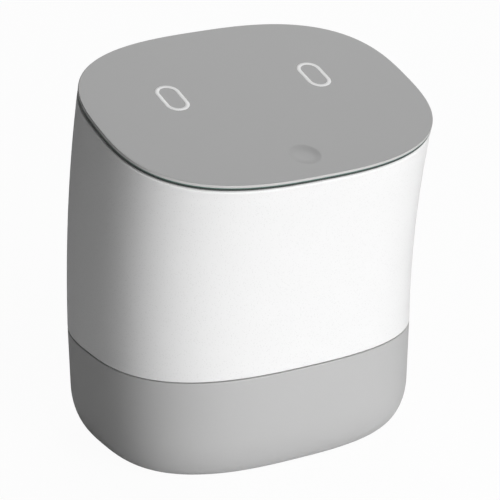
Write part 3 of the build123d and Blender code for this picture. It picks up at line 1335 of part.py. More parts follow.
with BuildPart() as lead_gland:
    with BuildSketch(Plane((LEAD_X, CABINET_Y, CABINET_BOTTOM - GLAND_LIP))):
        Circle(GLAND_RADIUS + GLAND_BRIM)
        Circle(LEAD_RADIUS + PILOT_GAP, mode=Mode.SUBTRACT)
    extrude(amount=GLAND_LIP)
    with BuildSketch(Plane((LEAD_X, CABINET_Y, CABINET_BOTTOM))):
        Circle(GLAND_RADIUS - PILOT_GAP)
        Circle(LEAD_RADIUS + PILOT_GAP, mode=Mode.SUBTRACT)
    extrude(amount=CABINET_WALL + GLAND_LIP)
keep(lead_gland, "lead_gland")

# Flat cable from the main board, up beside the cabinet, to the touch board.
flex_low = BOARD_TOP + FLEX_LIFT
flex_start = MAIN_BOARD_HALF_X - FLEX_START_INSET
flex_side = Plane.XZ.offset(-FLEX_Y - FLEX_WIDTH / 2)
with BuildPart() as flex_cable:
    with BuildSketch(flex_side):
        with BuildLine():
            corner = FilletPolyline(
                (flex_start, flex_low),
                (FLEX_X, flex_low),
                (FLEX_X, PANEL.origin.Z),
                radius=FLEX_BEND,
            )
            offset(corner, amount=FLEX_THICK, side=Side.LEFT)
        make_face()
    extrude(amount=FLEX_WIDTH)
    split(bisect_by=under_panel(board_bottom_drop + CONNECTOR_HIGH), keep=Keep.BOTTOM)
keep(flex_cable, "flex_cable")

with BuildPart() as flex_connectors:
    with BuildSketch(under_panel(board_bottom_drop + CONNECTOR_HIGH)):
        with Locations((FLEX_X, flex_v)):
            Rectangle(CONNECTOR_WIDTH, FLEX_WIDTH + CONNECTOR_EXTRA)
    extrude(amount=CONNECTOR_HIGH)
    with BuildSketch(Plane((flex_start - SOCKET_DEPTH / 2, FLEX_Y, BOARD_TOP))):
        Rectangle(SOCKET_DEPTH, FLEX_WIDTH + CONNECTOR_EXTRA)
    extrude(amount=SOCKET_HIGH)
    with BuildSketch(Plane((LEAD_X, CABINET_Y, BOARD_TOP))):
        Rectangle(*PLUG_SIZE)
    extrude(amount=PLUG_HIGH)
keep(flex_connectors, "flex_connectors")

# Two clips on the cabinet's side hold the flat cable.
clip_reach = FLEX_OUT + CLIP_SPARE
with BuildPart() as flex_clips:
    for share in CLIP_SHARES:
        with BuildSketch(Plane.XY.offset(CABINET_BOTTOM + share * CABINET_HIGH)):
            with Locations((CABINET_HALF_X + clip_reach / 2, FLEX_Y)):
                Rectangle(clip_reach, FLEX_WIDTH + CLIP_SIDE)
            with Locations((FLEX_X, FLEX_Y)):
                Rectangle(CLIP_OPENING, FLEX_WIDTH + CLIP_OPENING, mode=Mode.SUBTRACT)
        extrude(amount=CLIP_HIGH)
keep(flex_clips, "flex_clips")

# Radio antennas on the cabinet's other side.
with BuildPart() as antennas:
    with BuildSketch(Plane.YZ.offset(-CABINET_HALF_X)):
        with Locations(*[(y, RADIATOR_Z + z) for y, z in ANTENNA_PLACES]):
            RectangleRounded(*ANTENNA_SIZE, ANTENNA_CORNER)
    extrude(amount=-ANTENNA_THICK)
keep(antennas, "antennas")
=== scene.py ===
"""Looks of a table smart speaker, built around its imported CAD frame.

The outer shells, the glass panel and its marks are modelled here as smooth closed meshes; the
pieces inside keep their CAD meshes and take a finish of their own. Lengths are in metres.
"""

import json
import logging
import math
from dataclasses import dataclass
from enum import Enum
from typing import Any, Callable, Iterable, Mapping, Sequence

import bmesh
import bpy
from mathutils import Matrix, Vector


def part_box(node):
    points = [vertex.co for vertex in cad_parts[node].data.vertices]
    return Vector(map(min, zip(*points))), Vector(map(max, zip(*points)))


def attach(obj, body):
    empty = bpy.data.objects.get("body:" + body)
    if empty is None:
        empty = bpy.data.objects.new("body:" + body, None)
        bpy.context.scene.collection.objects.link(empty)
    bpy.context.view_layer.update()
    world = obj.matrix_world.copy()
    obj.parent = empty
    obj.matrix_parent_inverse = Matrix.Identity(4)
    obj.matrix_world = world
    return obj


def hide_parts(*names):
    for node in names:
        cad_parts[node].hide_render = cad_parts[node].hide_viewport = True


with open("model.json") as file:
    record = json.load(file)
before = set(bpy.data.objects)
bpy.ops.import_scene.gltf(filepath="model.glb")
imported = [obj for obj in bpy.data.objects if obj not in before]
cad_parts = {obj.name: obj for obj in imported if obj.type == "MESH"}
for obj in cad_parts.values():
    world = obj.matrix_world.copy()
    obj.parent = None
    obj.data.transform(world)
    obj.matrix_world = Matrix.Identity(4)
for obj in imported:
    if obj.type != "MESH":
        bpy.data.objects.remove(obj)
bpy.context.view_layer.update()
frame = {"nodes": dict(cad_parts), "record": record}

LOG = logging.getLogger("speaker")
MM = 0.001
WAVE_STEP = 0.314  # distance between the bands of a wave texture at scale 1
CRISP_ANGLE = 32.0  # edges turned by more degrees than this stay crisp
WELD = 1e-7  # vertices nearer than this are one
WHITE = (1.0, 1.0, 1.0, 1.0)
MIX_SHARE, MIX_FIRST, MIX_SECOND, MIX_RESULT = 0, 6, 7, 2  # a Mix node's sockets for colours
Colour = tuple[float, float, float]
Triple = tuple[float, float, float]
Place = Callable[[float], Vector]


# --- Shader building --------------------------------------------------------------------


class Axis(Enum):
    """The axis that bands lie across."""

    X = "X"
    Y = "Y"
    Z = "Z"


class Wire:
    """A socket that takes part in sums; each operation adds one Math node."""

    def __init__(self, recipe: "Recipe", socket: bpy.types.NodeSocket | None) -> None:
        """Wraps one output socket of a recipe."""
        self.recipe = recipe
        self.socket = socket

    def _math(self, operation: str, first: Any, second: Any) -> "Wire":
        """Adds a Math node on two values."""
        return self.recipe.node("ShaderNodeMath", {"operation": operation}, {0: first, 1: second})

    def __add__(self, other: Any) -> "Wire":
        """self + other."""
        return self._math("ADD", self, other)

    __radd__ = __add__

    def __sub__(self, other: Any) -> "Wire":
        """self - other."""
        return self._math("SUBTRACT", self, other)

    def __rsub__(self, other: Any) -> "Wire":
        """other - self."""
        return self._math("SUBTRACT", other, self)

    def __mul__(self, other: Any) -> "Wire":
        """self * other."""
        return self._math("MULTIPLY", self, other)

    __rmul__ = __mul__

    def ramp(self, low: float, high: float) -> "Wire":
        """Rises smoothly from 0 to 1.

        Args:
            low: the value that gives 0.
            high: the value that gives 1.

        Returns:
            The share risen.
        """
        return self.recipe.node(
            "ShaderNodeMapRange",
            {"interpolation_type": "SMOOTHSTEP", "clamp": True},
            {"Value": self, "From Min": low, "From Max": high},
        )


class Recipe:
    """The node tree of one material, or of the world."""

    def __init__(self, name: str, world: bool = False) -> None:
        """Starts an empty tree.

        Args:
            name: the material's or the world's name.
            world: whether the tree is a world's.
        """
        self.owner = bpy.data.worlds.new(name) if world else bpy.data.materials.new(name)
        self.owner.use_nodes = True
        self.tree = self.owner.node_tree
        self.tree.nodes.clear()

    def node(
        self,
        kind: str,
        settings: Mapping[str, Any] | None = None,
        inputs: Mapping[Any, Any] | None = None,
        output: Any = 0,
    ) -> Wire:
        """Adds any node.

        Args:
            kind: the node's type.
            settings: its properties, set before its sockets.
            inputs: a number, tuple or Wire for each named or numbered socket.
            output: the socket to hand back.

        Returns:
            The chosen output.
        """
        made = self.tree.nodes.new(kind)
        for key, value in (settings or {}).items():
            setattr(made, key, value)
        for key, value in (inputs or {}).items():
            if isinstance(value, Wire):
                self.tree.links.new(value.socket, made.inputs[key])
            else:
                made.inputs[key].default_value = value
        return Wire(self, made.outputs[output] if made.outputs else None)

    def place(self, scale: Triple = (1.0, 1.0, 1.0), turn: Triple = (0.0, 0.0, 0.0)) -> Wire:
        """Object coordinates, stretched and turned."""
        coords = self.node("ShaderNodeTexCoord", output="Object")
        return self.node("ShaderNodeMapping", {}, {"Vector": coords, "Rotation": turn, "Scale": scale})

    def noise(self, size: float, detail: float = 2.0, vector: Wire | None = None) -> Wire:
        """Cloudy noise.

        Args:
            size: how large its blotches are, about.
            detail: how many finer layers it has.
            vector: where it is read, or None for Object coordinates.

        Returns:
            Its value, 0 to 1.
        """
        return self.node(
            "ShaderNodeTexNoise",
            {"noise_dimensions": "3D"},
            {"Vector": vector or self.place(), "Scale": 1.0 / size, "Detail": detail},
        )

    def cells(self, size: float) -> Wire:
        """Distance to the nearest of scattered points.

        Args:
            size: how far apart the points are, about.

        Returns:
            The distance, as a share of the size.
        """
        return self.node(
            "ShaderNodeTexVoronoi", {"feature": "F1"}, {"Vector": self.place(), "Scale": 1.0 / size}
        )

    def bands(self, step: float, across: Axis, waver: float) -> Wire:
        """Even bands that lie across an axis.

        Args:
            step: the distance from one band to the next.
            across: the axis.
            waver: how much the bands wander.

        Returns:
            Their height, 0 to 1.
        """
        return self.node(
            "ShaderNodeTexWave",
            {"wave_type": "BANDS", "bands_direction": across.value},
            {"Vector": self.place(), "Scale": WAVE_STEP / step, "Distortion": waver},
        )

    def mix(self, share: Any, first: Any, second: Any) -> Wire:
        """Blends two colours.

        Args:
            share: how much of the second one, 0 to 1.
            first: a Colour or a Wire.
            second: a Colour or a Wire.

        Returns:
            The blended colour.
        """
        pair = [value if isinstance(value, Wire) else (*value, 1.0) for value in (first, second)]
        inputs = {MIX_SHARE: share, MIX_FIRST: pair[0], MIX_SECOND: pair[1]}
        return self.node("ShaderNodeMix", {"data_type": "RGBA"}, inputs, output=MIX_RESULT)

    def bump(self, height: Wire, depth: float, under: Wire | None = None) -> Wire:
        """Turns a height into a normal.

        Args:
            height: the relief's height, 0 to 1.
            depth: how deep the relief is.
            under: a normal that the relief lies on.

        Returns:
            The normal.
        """
        inputs: dict[str, Any] = {"Strength": 1.0, "Distance": depth, "Height": height}
        if under is not None:
            inputs["Normal"] = under
        return self.node("ShaderNodeBump", {}, inputs, output="Normal")

    def finish(self, inputs: Mapping[str, Any]) -> bpy.types.Material:
        """Closes the material with one Principled shader.

        Args:
            inputs: its sockets, as numbers, tuples or Wires.

        Returns:
            The finished material.
        """
        shader = self.node("ShaderNodeBsdfPrincipled", {}, inputs)
        self.node("ShaderNodeOutputMaterial", {}, {"Surface": shader})
        return self.owner


def shade(colour: Colour, by: float) -> Colour:
    """The colour made lighter or darker by a factor."""
    return tuple(min(1.0, part * by) for part in colour)


# --- Finishes -----------------------------------------------------------------------------


@dataclass(frozen=True)
class Finish:
    """What every finish has: a colour, and a way to become a material."""

    colour: Colour

    def tone(self, recipe: Recipe, share: Wire, dark: float, light: float) -> Wire:
        """The colour times a factor that goes from dark to light with a share."""
        return recipe.mix(share, shade(self.colour, dark), shade(self.colour, light))

    def sockets(self, recipe: Recipe) -> dict[str, Any]:
        """Says what each of the shader's sockets is given; every kind of finish has its own."""
        raise NotImplementedError

    def make(self, name: str) -> bpy.types.Material:
        """Builds the material under a name."""
        recipe = Recipe(name)
        return recipe.finish(self.sockets(recipe))


@dataclass(frozen=True)
class Moulded(Finish):
    """Moulded plastic with a fine spark-eroded grain and, if asked, tiny scattered pores whose dark insides
    are painted shade.
    """

    roughness: float = 0.5
    unevenness: float = 0.12
    grain: float = 0.45 * MM
    coarser: float = 2.2
    coarse_share: float = 0.55
    fine_share: float = 0.45
    drift: float = 28.0 * MM
    relief: float = 0.02 * MM
    mottle: float = 0.02
    pores: float = 0.0
    pore_step: float = 0.9 * MM
    pore_inner: float = 0.16
    pore_outer: float = 0.30
    # how dark the pores are painted: painted shade inside each hole
    pore_painted_shade: float = 0.35
    glow: float = 0.0
    glow_reach: float = 2.0 * MM
    specular: float = 0.5

    def sockets(self, recipe: Recipe) -> dict[str, Any]:
        """Lays coarse and fine grain over a slow drift of tone, with painted shade in the pores.

        Args:
            recipe: the material being made.

        Returns:
            A number, tuple or Wire for each socket.
        """
        coarse = recipe.noise(self.grain * self.coarser, detail=3.0)
        fine = recipe.noise(self.grain, detail=1.0)
        drift = recipe.noise(self.drift)
        colour = self.tone(recipe, drift * 0.5 + fine * 0.5, 1.0 - self.mottle, 1.0 + self.mottle)
        normal = recipe.bump(coarse * self.coarse_share + fine * self.fine_share, self.relief)
        if self.pores:
            # painted shade: each pore's colour is darkened to stand in for the shade inside the hole
            hole = 1.0 - recipe.cells(self.pore_step).ramp(self.pore_inner, self.pore_outer)
            colour = recipe.mix(hole * self.pores, colour, shade(self.colour, self.pore_painted_shade))
            normal = recipe.bump(1.0 - hole, self.relief, normal)
        given: dict[str, Any] = {
            "Base Color": colour,
            "Roughness": self.roughness - 0.5 * self.unevenness + coarse * self.unevenness,
            "Normal": normal,
            "Specular IOR Level": self.specular,
        }
        if self.glow:
            given["Subsurface Weight"] = self.glow
            given["Subsurface Radius"] = (self.glow_reach, self.glow_reach, self.glow_reach)
        return given


@dataclass(frozen=True)
class EtchedFace(Finish):
    """Acid-etched glass over a printed back: even colour, satin, with an almost invisible grain."""

    roughness: float = 0.42
    unevenness: float = 0.05
    etch: float = 0.16 * MM
    drift: float = 35.0 * MM
    mottle: float = 0.008
    relief: float = 0.0025 * MM
    specular: float = 0.45

    def sockets(self, recipe: Recipe) -> dict[str, Any]:
        """Lays a very fine etch over a slow drift of tone.

        Args:
            recipe: the material being made.

        Returns:
            A number, tuple or Wire for each socket.
        """
        etch = recipe.noise(self.etch)
        drift = recipe.noise(self.drift, detail=1.0)
        return {
            "Base Color": self.tone(recipe, drift, 1.0 - self.mottle, 1.0 + self.mottle),
            "Roughness": self.roughness + etch * self.unevenness,
            "Normal": recipe.bump(etch, self.relief),
            "Specular IOR Level": self.specular,
        }


@dataclass(frozen=True)
class GroundEdge(Finish):
    """A band of the glass's ground edge: frosted, with fine grinding lines."""

    roughness: float = 0.38
    unevenness: float = 0.12
    line: float = 0.5 * MM
    stretch: Triple = (1.0, 1.0, 4.0)
    mottle: float = 0.03
    relief: float = 0.006 * MM
    coat: float = 0.15

    def sockets(self, recipe: Recipe) -> dict[str, Any]:
        """Draws grinding lines along the edge.

        Args:
            recipe: the material being made.

        Returns:
            A number, tuple or Wire for each socket.
        """
        scratch = recipe.noise(self.line, vector=recipe.place(self.stretch))
        return {
            "Base Color": self.tone(recipe, scratch, 1.0 - self.mottle, 1.0 + self.mottle),
            "Roughness": self.roughness + scratch * self.unevenness,
            "Normal": recipe.bump(scratch, self.relief),
            "Coat Weight": self.coat,
        }


@dataclass(frozen=True)
class Enamel(Finish):
    """Fused ceramic ink, slightly grainy."""

    roughness: float = 0.4
    unevenness: float = 0.1
    speck: float = 0.12 * MM
    mottle: float = 0.02
    relief: float = 0.004 * MM

    def sockets(self, recipe: Recipe) -> dict[str, Any]:
        """Speckles the ink.

        Args:
            recipe: the material being made.

        Returns:
            A number, tuple or Wire for each socket.
        """
        speck = recipe.noise(self.speck)
        return {
            "Base Color": self.tone(recipe, speck, 1.0 - self.mottle, 1.0 + self.mottle),
            "Roughness": self.roughness + speck * self.unevenness,
            "Normal": recipe.bump(speck, self.relief),
        }


@dataclass(frozen=True)
class Metal(Finish):
    """Metal with fine drawn or turned lines, and a little staining."""

    roughness: float = 0.32
    stretch: Triple = (1.0, 1.0, 12.0)
    line: float = 0.25 * MM
    line_dulling: float = 0.14
    stain: float = 6.0 * MM
    stain_dulling: float = 0.06
    stained: float = 0.86
    polished: float = 1.08
    relief: float = 0.004 * MM

    def sockets(self, recipe: Recipe) -> dict[str, Any]:
        """Draws the lines and lays stains over them.

        Args:
            recipe: the material being made.

        Returns:
            A number, tuple or Wire for each socket.
        """
        lines = recipe.noise(self.line, detail=3.0, vector=recipe.place(self.stretch))
        stain = recipe.noise(self.stain, detail=3.0)
        dulling = lines * self.line_dulling + stain * self.stain_dulling
        return {
            "Base Color": self.tone(recipe, stain, self.stained, self.polished),
            "Metallic": 1.0,
            "Roughness": self.roughness - self.stain_dulling + dulling,
            "Normal": recipe.bump(lines, self.relief),
        }


@dataclass(frozen=True)
class Winding(Finish):
    """Enamelled wire wound in neat turns about an upright axis, with painted shade in the grooves between
    turns.
    """

    pitch: float = 0.28 * MM
    waver: float = 0.3
    groove_painted_shade: float = 0.45
    metallic: float = 0.85
    roughness: float = 0.28
    unevenness: float = 0.1
    relief: float = 0.08 * MM
    coat: float = 0.4

    def sockets(self, recipe: Recipe) -> dict[str, Any]:
        """Lays the turns one over another, darkening the grooves between them as painted shade.

        Args:
            recipe: the material being made.

        Returns:
            A number, tuple or Wire for each socket.
        """
        turns = recipe.bands(self.pitch, Axis.Z, self.waver)
        return {
            # painted shade: the colour darkens in the grooves between turns
            "Base Color": self.tone(recipe, turns, self.groove_painted_shade, 1.0),
            "Metallic": self.metallic,
            "Roughness": self.roughness + turns * self.unevenness,
            "Normal": recipe.bump(turns, self.relief),
            "Coat Weight": self.coat,
        }


@dataclass(frozen=True)
class CircuitBoard(Finish):
    """Solder mask over copper tracks, with tinned pads."""

    track_step: float = 1.6 * MM
    track_length: float = 6.4 * MM
    track_line: float = 0.16 * MM
    track_blur: float = 0.1
    track_light: float = 1.7
    track_raise: float = 0.6
    stagger: float = 0.37
    long_runs: float = 1.6
    long_run_every: int = 3
    pad_step: float = 3.4 * MM
    pad_inner: float = 0.10
    pad_outer: float = 0.12
    pad_metallic: float = 0.9
    pad_raise: float = 0.4
    tin: Colour = (0.72, 0.71, 0.66)
    weave: float = 0.8 * MM
    weave_raise: float = 0.1
    roughness: float = 0.36
    unevenness: float = 0.08
    relief: float = 0.03 * MM
    coat: float = 0.2

    def _tracks(self, recipe: Recipe) -> Wire:
        """The tracks' lines, in staggered runs of uneven length.

        Args:
            recipe: the material being made.

        Returns:
            1 on a track and 0 off it.
        """
        return recipe.node(
            "ShaderNodeTexBrick",
            {"offset": self.stagger, "squash": self.long_runs, "squash_frequency": self.long_run_every},
            {
                "Vector": recipe.place(),
                "Scale": 1.0,
                "Mortar Size": self.track_line,
                "Mortar Smooth": self.track_blur,
                "Brick Width": self.track_length,
                "Row Height": self.track_step,
            },
            output="Fac",
        )

    def sockets(self, recipe: Recipe) -> dict[str, Any]:
        """Lays tracks and pads over the board's weave.

        Args:
            recipe: the material being made.

        Returns:
            A number, tuple or Wire for each socket.
        """
        tracks = self._tracks(recipe)
        pads = 1.0 - recipe.cells(self.pad_step).ramp(self.pad_inner, self.pad_outer)
        weave = recipe.noise(self.weave, detail=1.0)
        height = tracks * self.track_raise + pads * self.pad_raise + weave * self.weave_raise
        return {
            "Base Color": recipe.mix(pads, self.tone(recipe, tracks, 1.0, self.track_light), self.tin),
            "Metallic": pads * self.pad_metallic,
            "Roughness": self.roughness + weave * self.unevenness,
            "Normal": recipe.bump(height, self.relief),
            "Coat Weight": self.coat,
        }


class Fibre(Enum):
    """How a soft material's fibres lie."""

    CELLS = "cells"
    TANGLED = "tangled"
    WOVEN = "woven"


@dataclass(frozen=True)
class Soft(Finish):
    """Foam, felt, pressed pulp or cloth: a matt material with visible structure."""

    fibre: Fibre
    size: float = 0.6 * MM
    waver: float = 0.6
    stretch: float = 5.0
    along_turn: Triple = (0.3, 0.0, 0.7)
    across_turn: Triple = (0.0, 0.4, 0.2)
    detail: float = 4.0
    patch: float = 9.0 * MM
    patchiness: float = 0.3
    # painted shade in the structure's hollows, and below it painted light on its raised tops
    hollow_painted_shade: float = 0.7
    raised: float = 1.18
    relief: float = 0.08 * MM
    roughness: float = 0.9
    sheen: float = 0.1

    def _structure(self, recipe: Recipe) -> Wire:
        """How high the fibres stand.

        Args:
            recipe: the material being made.

        Returns:
            The height, 0 to 1.
        """
        if self.fibre is Fibre.CELLS:
            return recipe.cells(self.size)
        if self.fibre is Fibre.WOVEN:
            weft = recipe.bands(self.size, Axis.X, self.waver)
            return weft * 0.5 + recipe.bands(self.size, Axis.Y, self.waver) * 0.5
        along = recipe.place((1.0, self.stretch, 1.0), self.along_turn)
        across = recipe.place((self.stretch, 1.0, 1.0), self.across_turn)
        halves = [recipe.noise(self.size, self.detail, way) * 0.5 for way in (along, across)]
        return halves[0] + halves[1]

    def sockets(self, recipe: Recipe) -> dict[str, Any]:
        """Paints shade into the fibres' hollows and light onto their raised tops, with a few lighter and
        darker patches of random tone.

        Args:
            recipe: the material being made.

        Returns:
            A number, tuple or Wire for each socket.
        """
        structure = self._structure(recipe)
        share = structure * (1.0 - self.patchiness) + recipe.noise(self.patch) * self.patchiness
        return {
            # painted shade in the hollows and painted light on the raised tops, mixed with random patches
            "Base Color": self.tone(recipe, share, self.hollow_painted_shade, self.raised),
            "Roughness": self.roughness,
            "Normal": recipe.bump(structure, self.relief),
            "Sheen Weight": self.sheen,
        }


FINISHES: dict[str, Finish] = {
    "panel_glass": EtchedFace((0.372, 0.372, 0.372)),
    "mark_ink": Enamel((0.92, 0.92, 0.92)),
    "sensor_film": Moulded((0.03, 0.03, 0.035), roughness=0.3, relief=0.004 * MM, mottle=0.08),
    "tray_black": Moulded((0.045, 0.055, 0.052), roughness=0.42, relief=0.012 * MM, mottle=0.06),
    "milky_plastic": Moulded((0.84, 0.85, 0.83), roughness=0.45, glow=0.3, mottle=0.03),
    "circuit_board": CircuitBoard((0.012, 0.085, 0.045)),
    "chip_black": Moulded((0.018, 0.018, 0.02), roughness=0.62, grain=0.2 * MM, mottle=0.15),
    "light_yellow": Moulded((0.86, 0.78, 0.42), roughness=0.35, grain=0.15 * MM, glow=0.2),
    "mic_can": Metal((0.83, 0.66, 0.32), roughness=0.25, stretch=(1.0, 6.0, 1.0)),
    "soft_rubber": Moulded((0.02, 0.02, 0.022), roughness=0.78, mottle=0.1, specular=0.3),
    "screw_steel": Metal((0.62, 0.62, 0.6), roughness=0.28, stretch=(1.0, 1.0, 3.0)),
    # the body's pores carry painted shade
    "body_white": Moulded((0.86, 0.86, 0.86), roughness=0.55, mottle=0.018, pores=0.10),
    "base_grey": Moulded((0.495, 0.495, 0.495), roughness=0.5, mottle=0.015, relief=0.014 * MM),
    "cabinet_black": Moulded((0.022, 0.022, 0.024), roughness=0.5, mottle=0.12, relief=0.03 * MM),
    "foam_grey": Soft((0.10, 0.10, 0.105), Fibre.CELLS, size=0.5 * MM),
    "felt_grey": Soft((0.36, 0.36, 0.35), Fibre.TANGLED, size=1.2 * MM, relief=0.3 * MM, sheen=0.4),
    "basket_steel": Moulded((0.02, 0.02, 0.02), roughness=0.38, grain=0.7 * MM, relief=0.03 * MM),
    "plated_steel": Metal((0.66, 0.65, 0.61), roughness=0.3, stretch=(1.0, 1.0, 8.0)),
    "ferrite": Moulded((0.035, 0.035, 0.038), roughness=0.55, grain=0.3 * MM, relief=0.04 * MM, mottle=0.2),
    "coil_copper": Winding((0.78, 0.36, 0.17)),
    "cone_paper": Soft((0.035, 0.035, 0.038), Fibre.TANGLED, size=0.9 * MM, relief=0.05 * MM),
    "cap_plastic": Moulded((0.02, 0.02, 0.022), roughness=0.3, relief=0.006 * MM, mottle=0.08),
    "surround_rubber": Moulded((0.018, 0.018, 0.02), roughness=0.6, relief=0.01 * MM, mottle=0.1),
    "spider_cloth": Soft((0.56, 0.37, 0.15), Fibre.WOVEN, size=0.55 * MM, relief=0.12 * MM),
    "bare_aluminium": Metal((0.8, 0.8, 0.81), roughness=0.34, stretch=(12.0, 1.0, 1.0)),
    "shield_tin": Metal((0.72, 0.72, 0.7), roughness=0.22, stretch=(1.0, 10.0, 1.0)),
    "lead_jacket": Moulded((0.03, 0.03, 0.032), roughness=0.48, relief=0.01 * MM, mottle=0.08),
    "ribbon_film": Moulded((0.74, 0.74, 0.71), roughness=0.35, relief=0.006 * MM, mottle=0.04),
    "connector_cream": Moulded((0.72, 0.65, 0.48), roughness=0.45, mottle=0.05),
    "deck_plastic": Moulded((0.03, 0.03, 0.032), roughness=0.58, mottle=0.15, relief=0.04 * MM),
    "foot_rubber": Moulded((0.03, 0.03, 0.032), roughness=0.82, relief=0.05 * MM, specular=0.3),
    "ballast_steel": Metal((0.16, 0.16, 0.17), roughness=0.5, stretch=(1.0, 4.0, 1.0)),
    "socket_steel": Metal((0.7, 0.69, 0.66), roughness=0.26, stretch=(1.0, 8.0, 1.0)),
}


# --- Outer form ---------------------------------------------------------------------------


@dataclass(frozen=True)
class Outline:
    """Rounded-square outline: a superellipse given by its half sizes."""

    half_width: float
    half_depth: float
    squareness: float = 2.75

    def inset(self, by: float) -> "Outline":
        """The same outline brought in all round."""
        return Outline(self.half_width - by, self.half_depth - by, self.squareness)

    def point(self, angle: float) -> tuple[float, float]:
        """Finds where a ray from the middle crosses the outline.

        Args:
            angle: the ray's angle from x.

        Returns:
            The crossing's x and v.
        """
        along = abs(math.cos(angle) / self.half_width) ** self.squareness
        across = abs(math.sin(angle) / self.half_depth) ** self.squareness
        reach = (along + across) ** (-1.0 / self.squareness)
        return reach * math.cos(angle), reach * math.sin(angle)


@dataclass(frozen=True)
class Slice:
    """A plane across the object: its middle, and how far it is tilted to the front."""

    y: float
    z: float
    tilt: float = 0.0

    @property
    def up(self) -> Vector:
        """The way that the plane faces."""
        return Vector((0.0, -math.sin(self.tilt), math.cos(self.tilt)))

    def at(self, x: float, v: float, rise: float = 0.0) -> Vector:
        """Finds a point on or off the plane.

        Args:
            x: how far to the right.
            v: how far back along the plane.
            rise: how far off it.

        Returns:
            The point.
        """
        sine, cosine = math.sin(self.tilt), math.cos(self.tilt)
        return Vector((x, self.y + v * cosine - rise * sine, self.z + v * sine + rise * cosine))

    def dropped(self, drop: float) -> "Slice":
        """The parallel plane this far below."""
        middle = self.at(0.0, 0.0, -drop)
        return Slice(middle.y, middle.z, self.tilt)


@dataclass(frozen=True)
class Form:
    """The driving sizes of the outer form, as the CAD model has them."""

    foot_proud: float = 0.8 * MM
    base_height: float = 41.7 * MM
    seam: Outline = Outline(65.0 * MM, 51.75 * MM)
    top: Outline = Outline(65.7 * MM, 50.1 * MM)
    lean_radius: float = 314.0 * MM
    lean_angle: float = math.radians(17.25)
    base_draft: float = 0.85 * MM
    round_in: float = 9.0 * MM
    round_up: float = 17.4 * MM
    seam_gap: float = 0.4 * MM
    body_wall: float = 2.4 * MM
    base_wall: float = 2.5 * MM
    glass: float = 1.5 * MM
    rim: float = 0.7 * MM
    gap: float = 0.6 * MM

    @property
    def seam_z(self) -> float:
        """Height of the seam between base and body."""
        return self.foot_proud + self.base_height

    def lean(self, share: float) -> Slice:
        """Finds a plane across the body.

        Args:
            share: how far up the body's leaning arc, 0 to 1.

        Returns:
            The plane there, square to the arc.
        """
        angle = self.lean_angle * share
        y = -self.lean_radius * (1.0 - math.cos(angle))
        return Slice(y, self.seam_z + self.lean_radius * math.sin(angle), angle)

    def outline(self, share: float) -> Outline:
        """Blends the body's outline from the seam's to the top's.

        Args:
            share: how far up the body, 0 to 1.

        Returns:
            The outline there.
        """
        half_width = self.seam.half_width + share * (self.top.half_width - self.seam.half_width)
        half_depth = self.seam.half_depth + share * (self.top.half_depth - self.seam.half_depth)
        return Outline(half_width, half_depth)

    def base_outline(self, rise: float) -> Outline:
        """Finds the base's outline, with its draft and its rounded lower edge.

        Args:
            rise: the height over the base's underside.

        Returns:
            The outline there.
        """
        left = max(0.0, 1.0 - rise / self.round_up)
        rounding = self.round_in * (1.0 - math.sqrt(1.0 - left * left))
        return self.seam.inset(self.base_draft * (1.0 - rise / self.base_height) + rounding)


@dataclass(frozen=True)
class Ring:
    """One station of a shell: where each angle round the object goes."""

    plane: Slice
    outline: Outline

    def at(self, angle: float) -> Vector:
        """The point of this ring at an angle."""
        return self.plane.at(*self.outline.point(angle))


class Shell:
    """A mesh made by extruding one ring of vertices from station to station."""

    def __init__(self, name: str, segments: int = 192) -> None:
        """Starts with a round ring that the first station shapes.

        Args:
            name: the piece's name.
            segments: how many vertices go round it.
        """
        self.name = name
        self.mesh = bmesh.new()
        self.angle = self.mesh.verts.layers.float.new("angle")
        bmesh.ops.create_circle(self.mesh, cap_ends=False, radius=1.0, segments=segments)
        for vert in self.mesh.verts:
            vert[self.angle] = math.atan2(vert.co.y, vert.co.x)
        self.edges = list(self.mesh.edges)
        self.first = list(self.mesh.edges)
        self.started = False

    def to(self, place: Place) -> None:
        """Extends the shell to one more station.

        Args:
            place: gives the point of the new ring at an angle.
        """
        verts = {vert for edge in self.edges for vert in edge.verts}
        if self.started:
            made = bmesh.ops.extrude_edge_only(self.mesh, edges=self.edges)["geom"]
            verts = {item for item in made if isinstance(item, bmesh.types.BMVert)}
            edges = [item for item in made if isinstance(item, bmesh.types.BMEdge)]
            self.edges = [edge for edge in edges if all(vert in verts for vert in edge.verts)]
        for vert in verts:
            vert.co = place(vert[self.angle])
        self.started = True

    def along(self, rings: Iterable[Ring]) -> "Shell":
        """Extends the shell through several rings.

        Args:
            rings: the rings in order.

        Returns:
            The shell itself.
        """
        for ring in rings:
            self.to(ring.at)
        return self

    def cap_last(self) -> None:
        """Closes the open end with one flat face."""
        bmesh.ops.contextual_create(self.mesh, geom=self.edges)

    def cap_first(self) -> None:
        """Closes the end that the shell started from."""
        bmesh.ops.contextual_create(self.mesh, geom=self.first)

    def close(self) -> None:
        """Joins the last ring to the first, for a shell that is hollow and open right through."""
        bmesh.ops.bridge_loops(self.mesh, edges=self.first + self.edges)

    def done(self, crisp: float = CRISP_ANGLE) -> bpy.types.Object:
        """Makes the finished object.

        Args:
            crisp: edges turned by more than this many degrees stay crisp.

        Returns:
            The new object.
        """
        bmesh.ops.remove_doubles(self.mesh, verts=self.mesh.verts, dist=WELD)
        bmesh.ops.recalc_face_normals(self.mesh, faces=self.mesh.faces)
        return to_object(self.mesh, self.name, crisp)


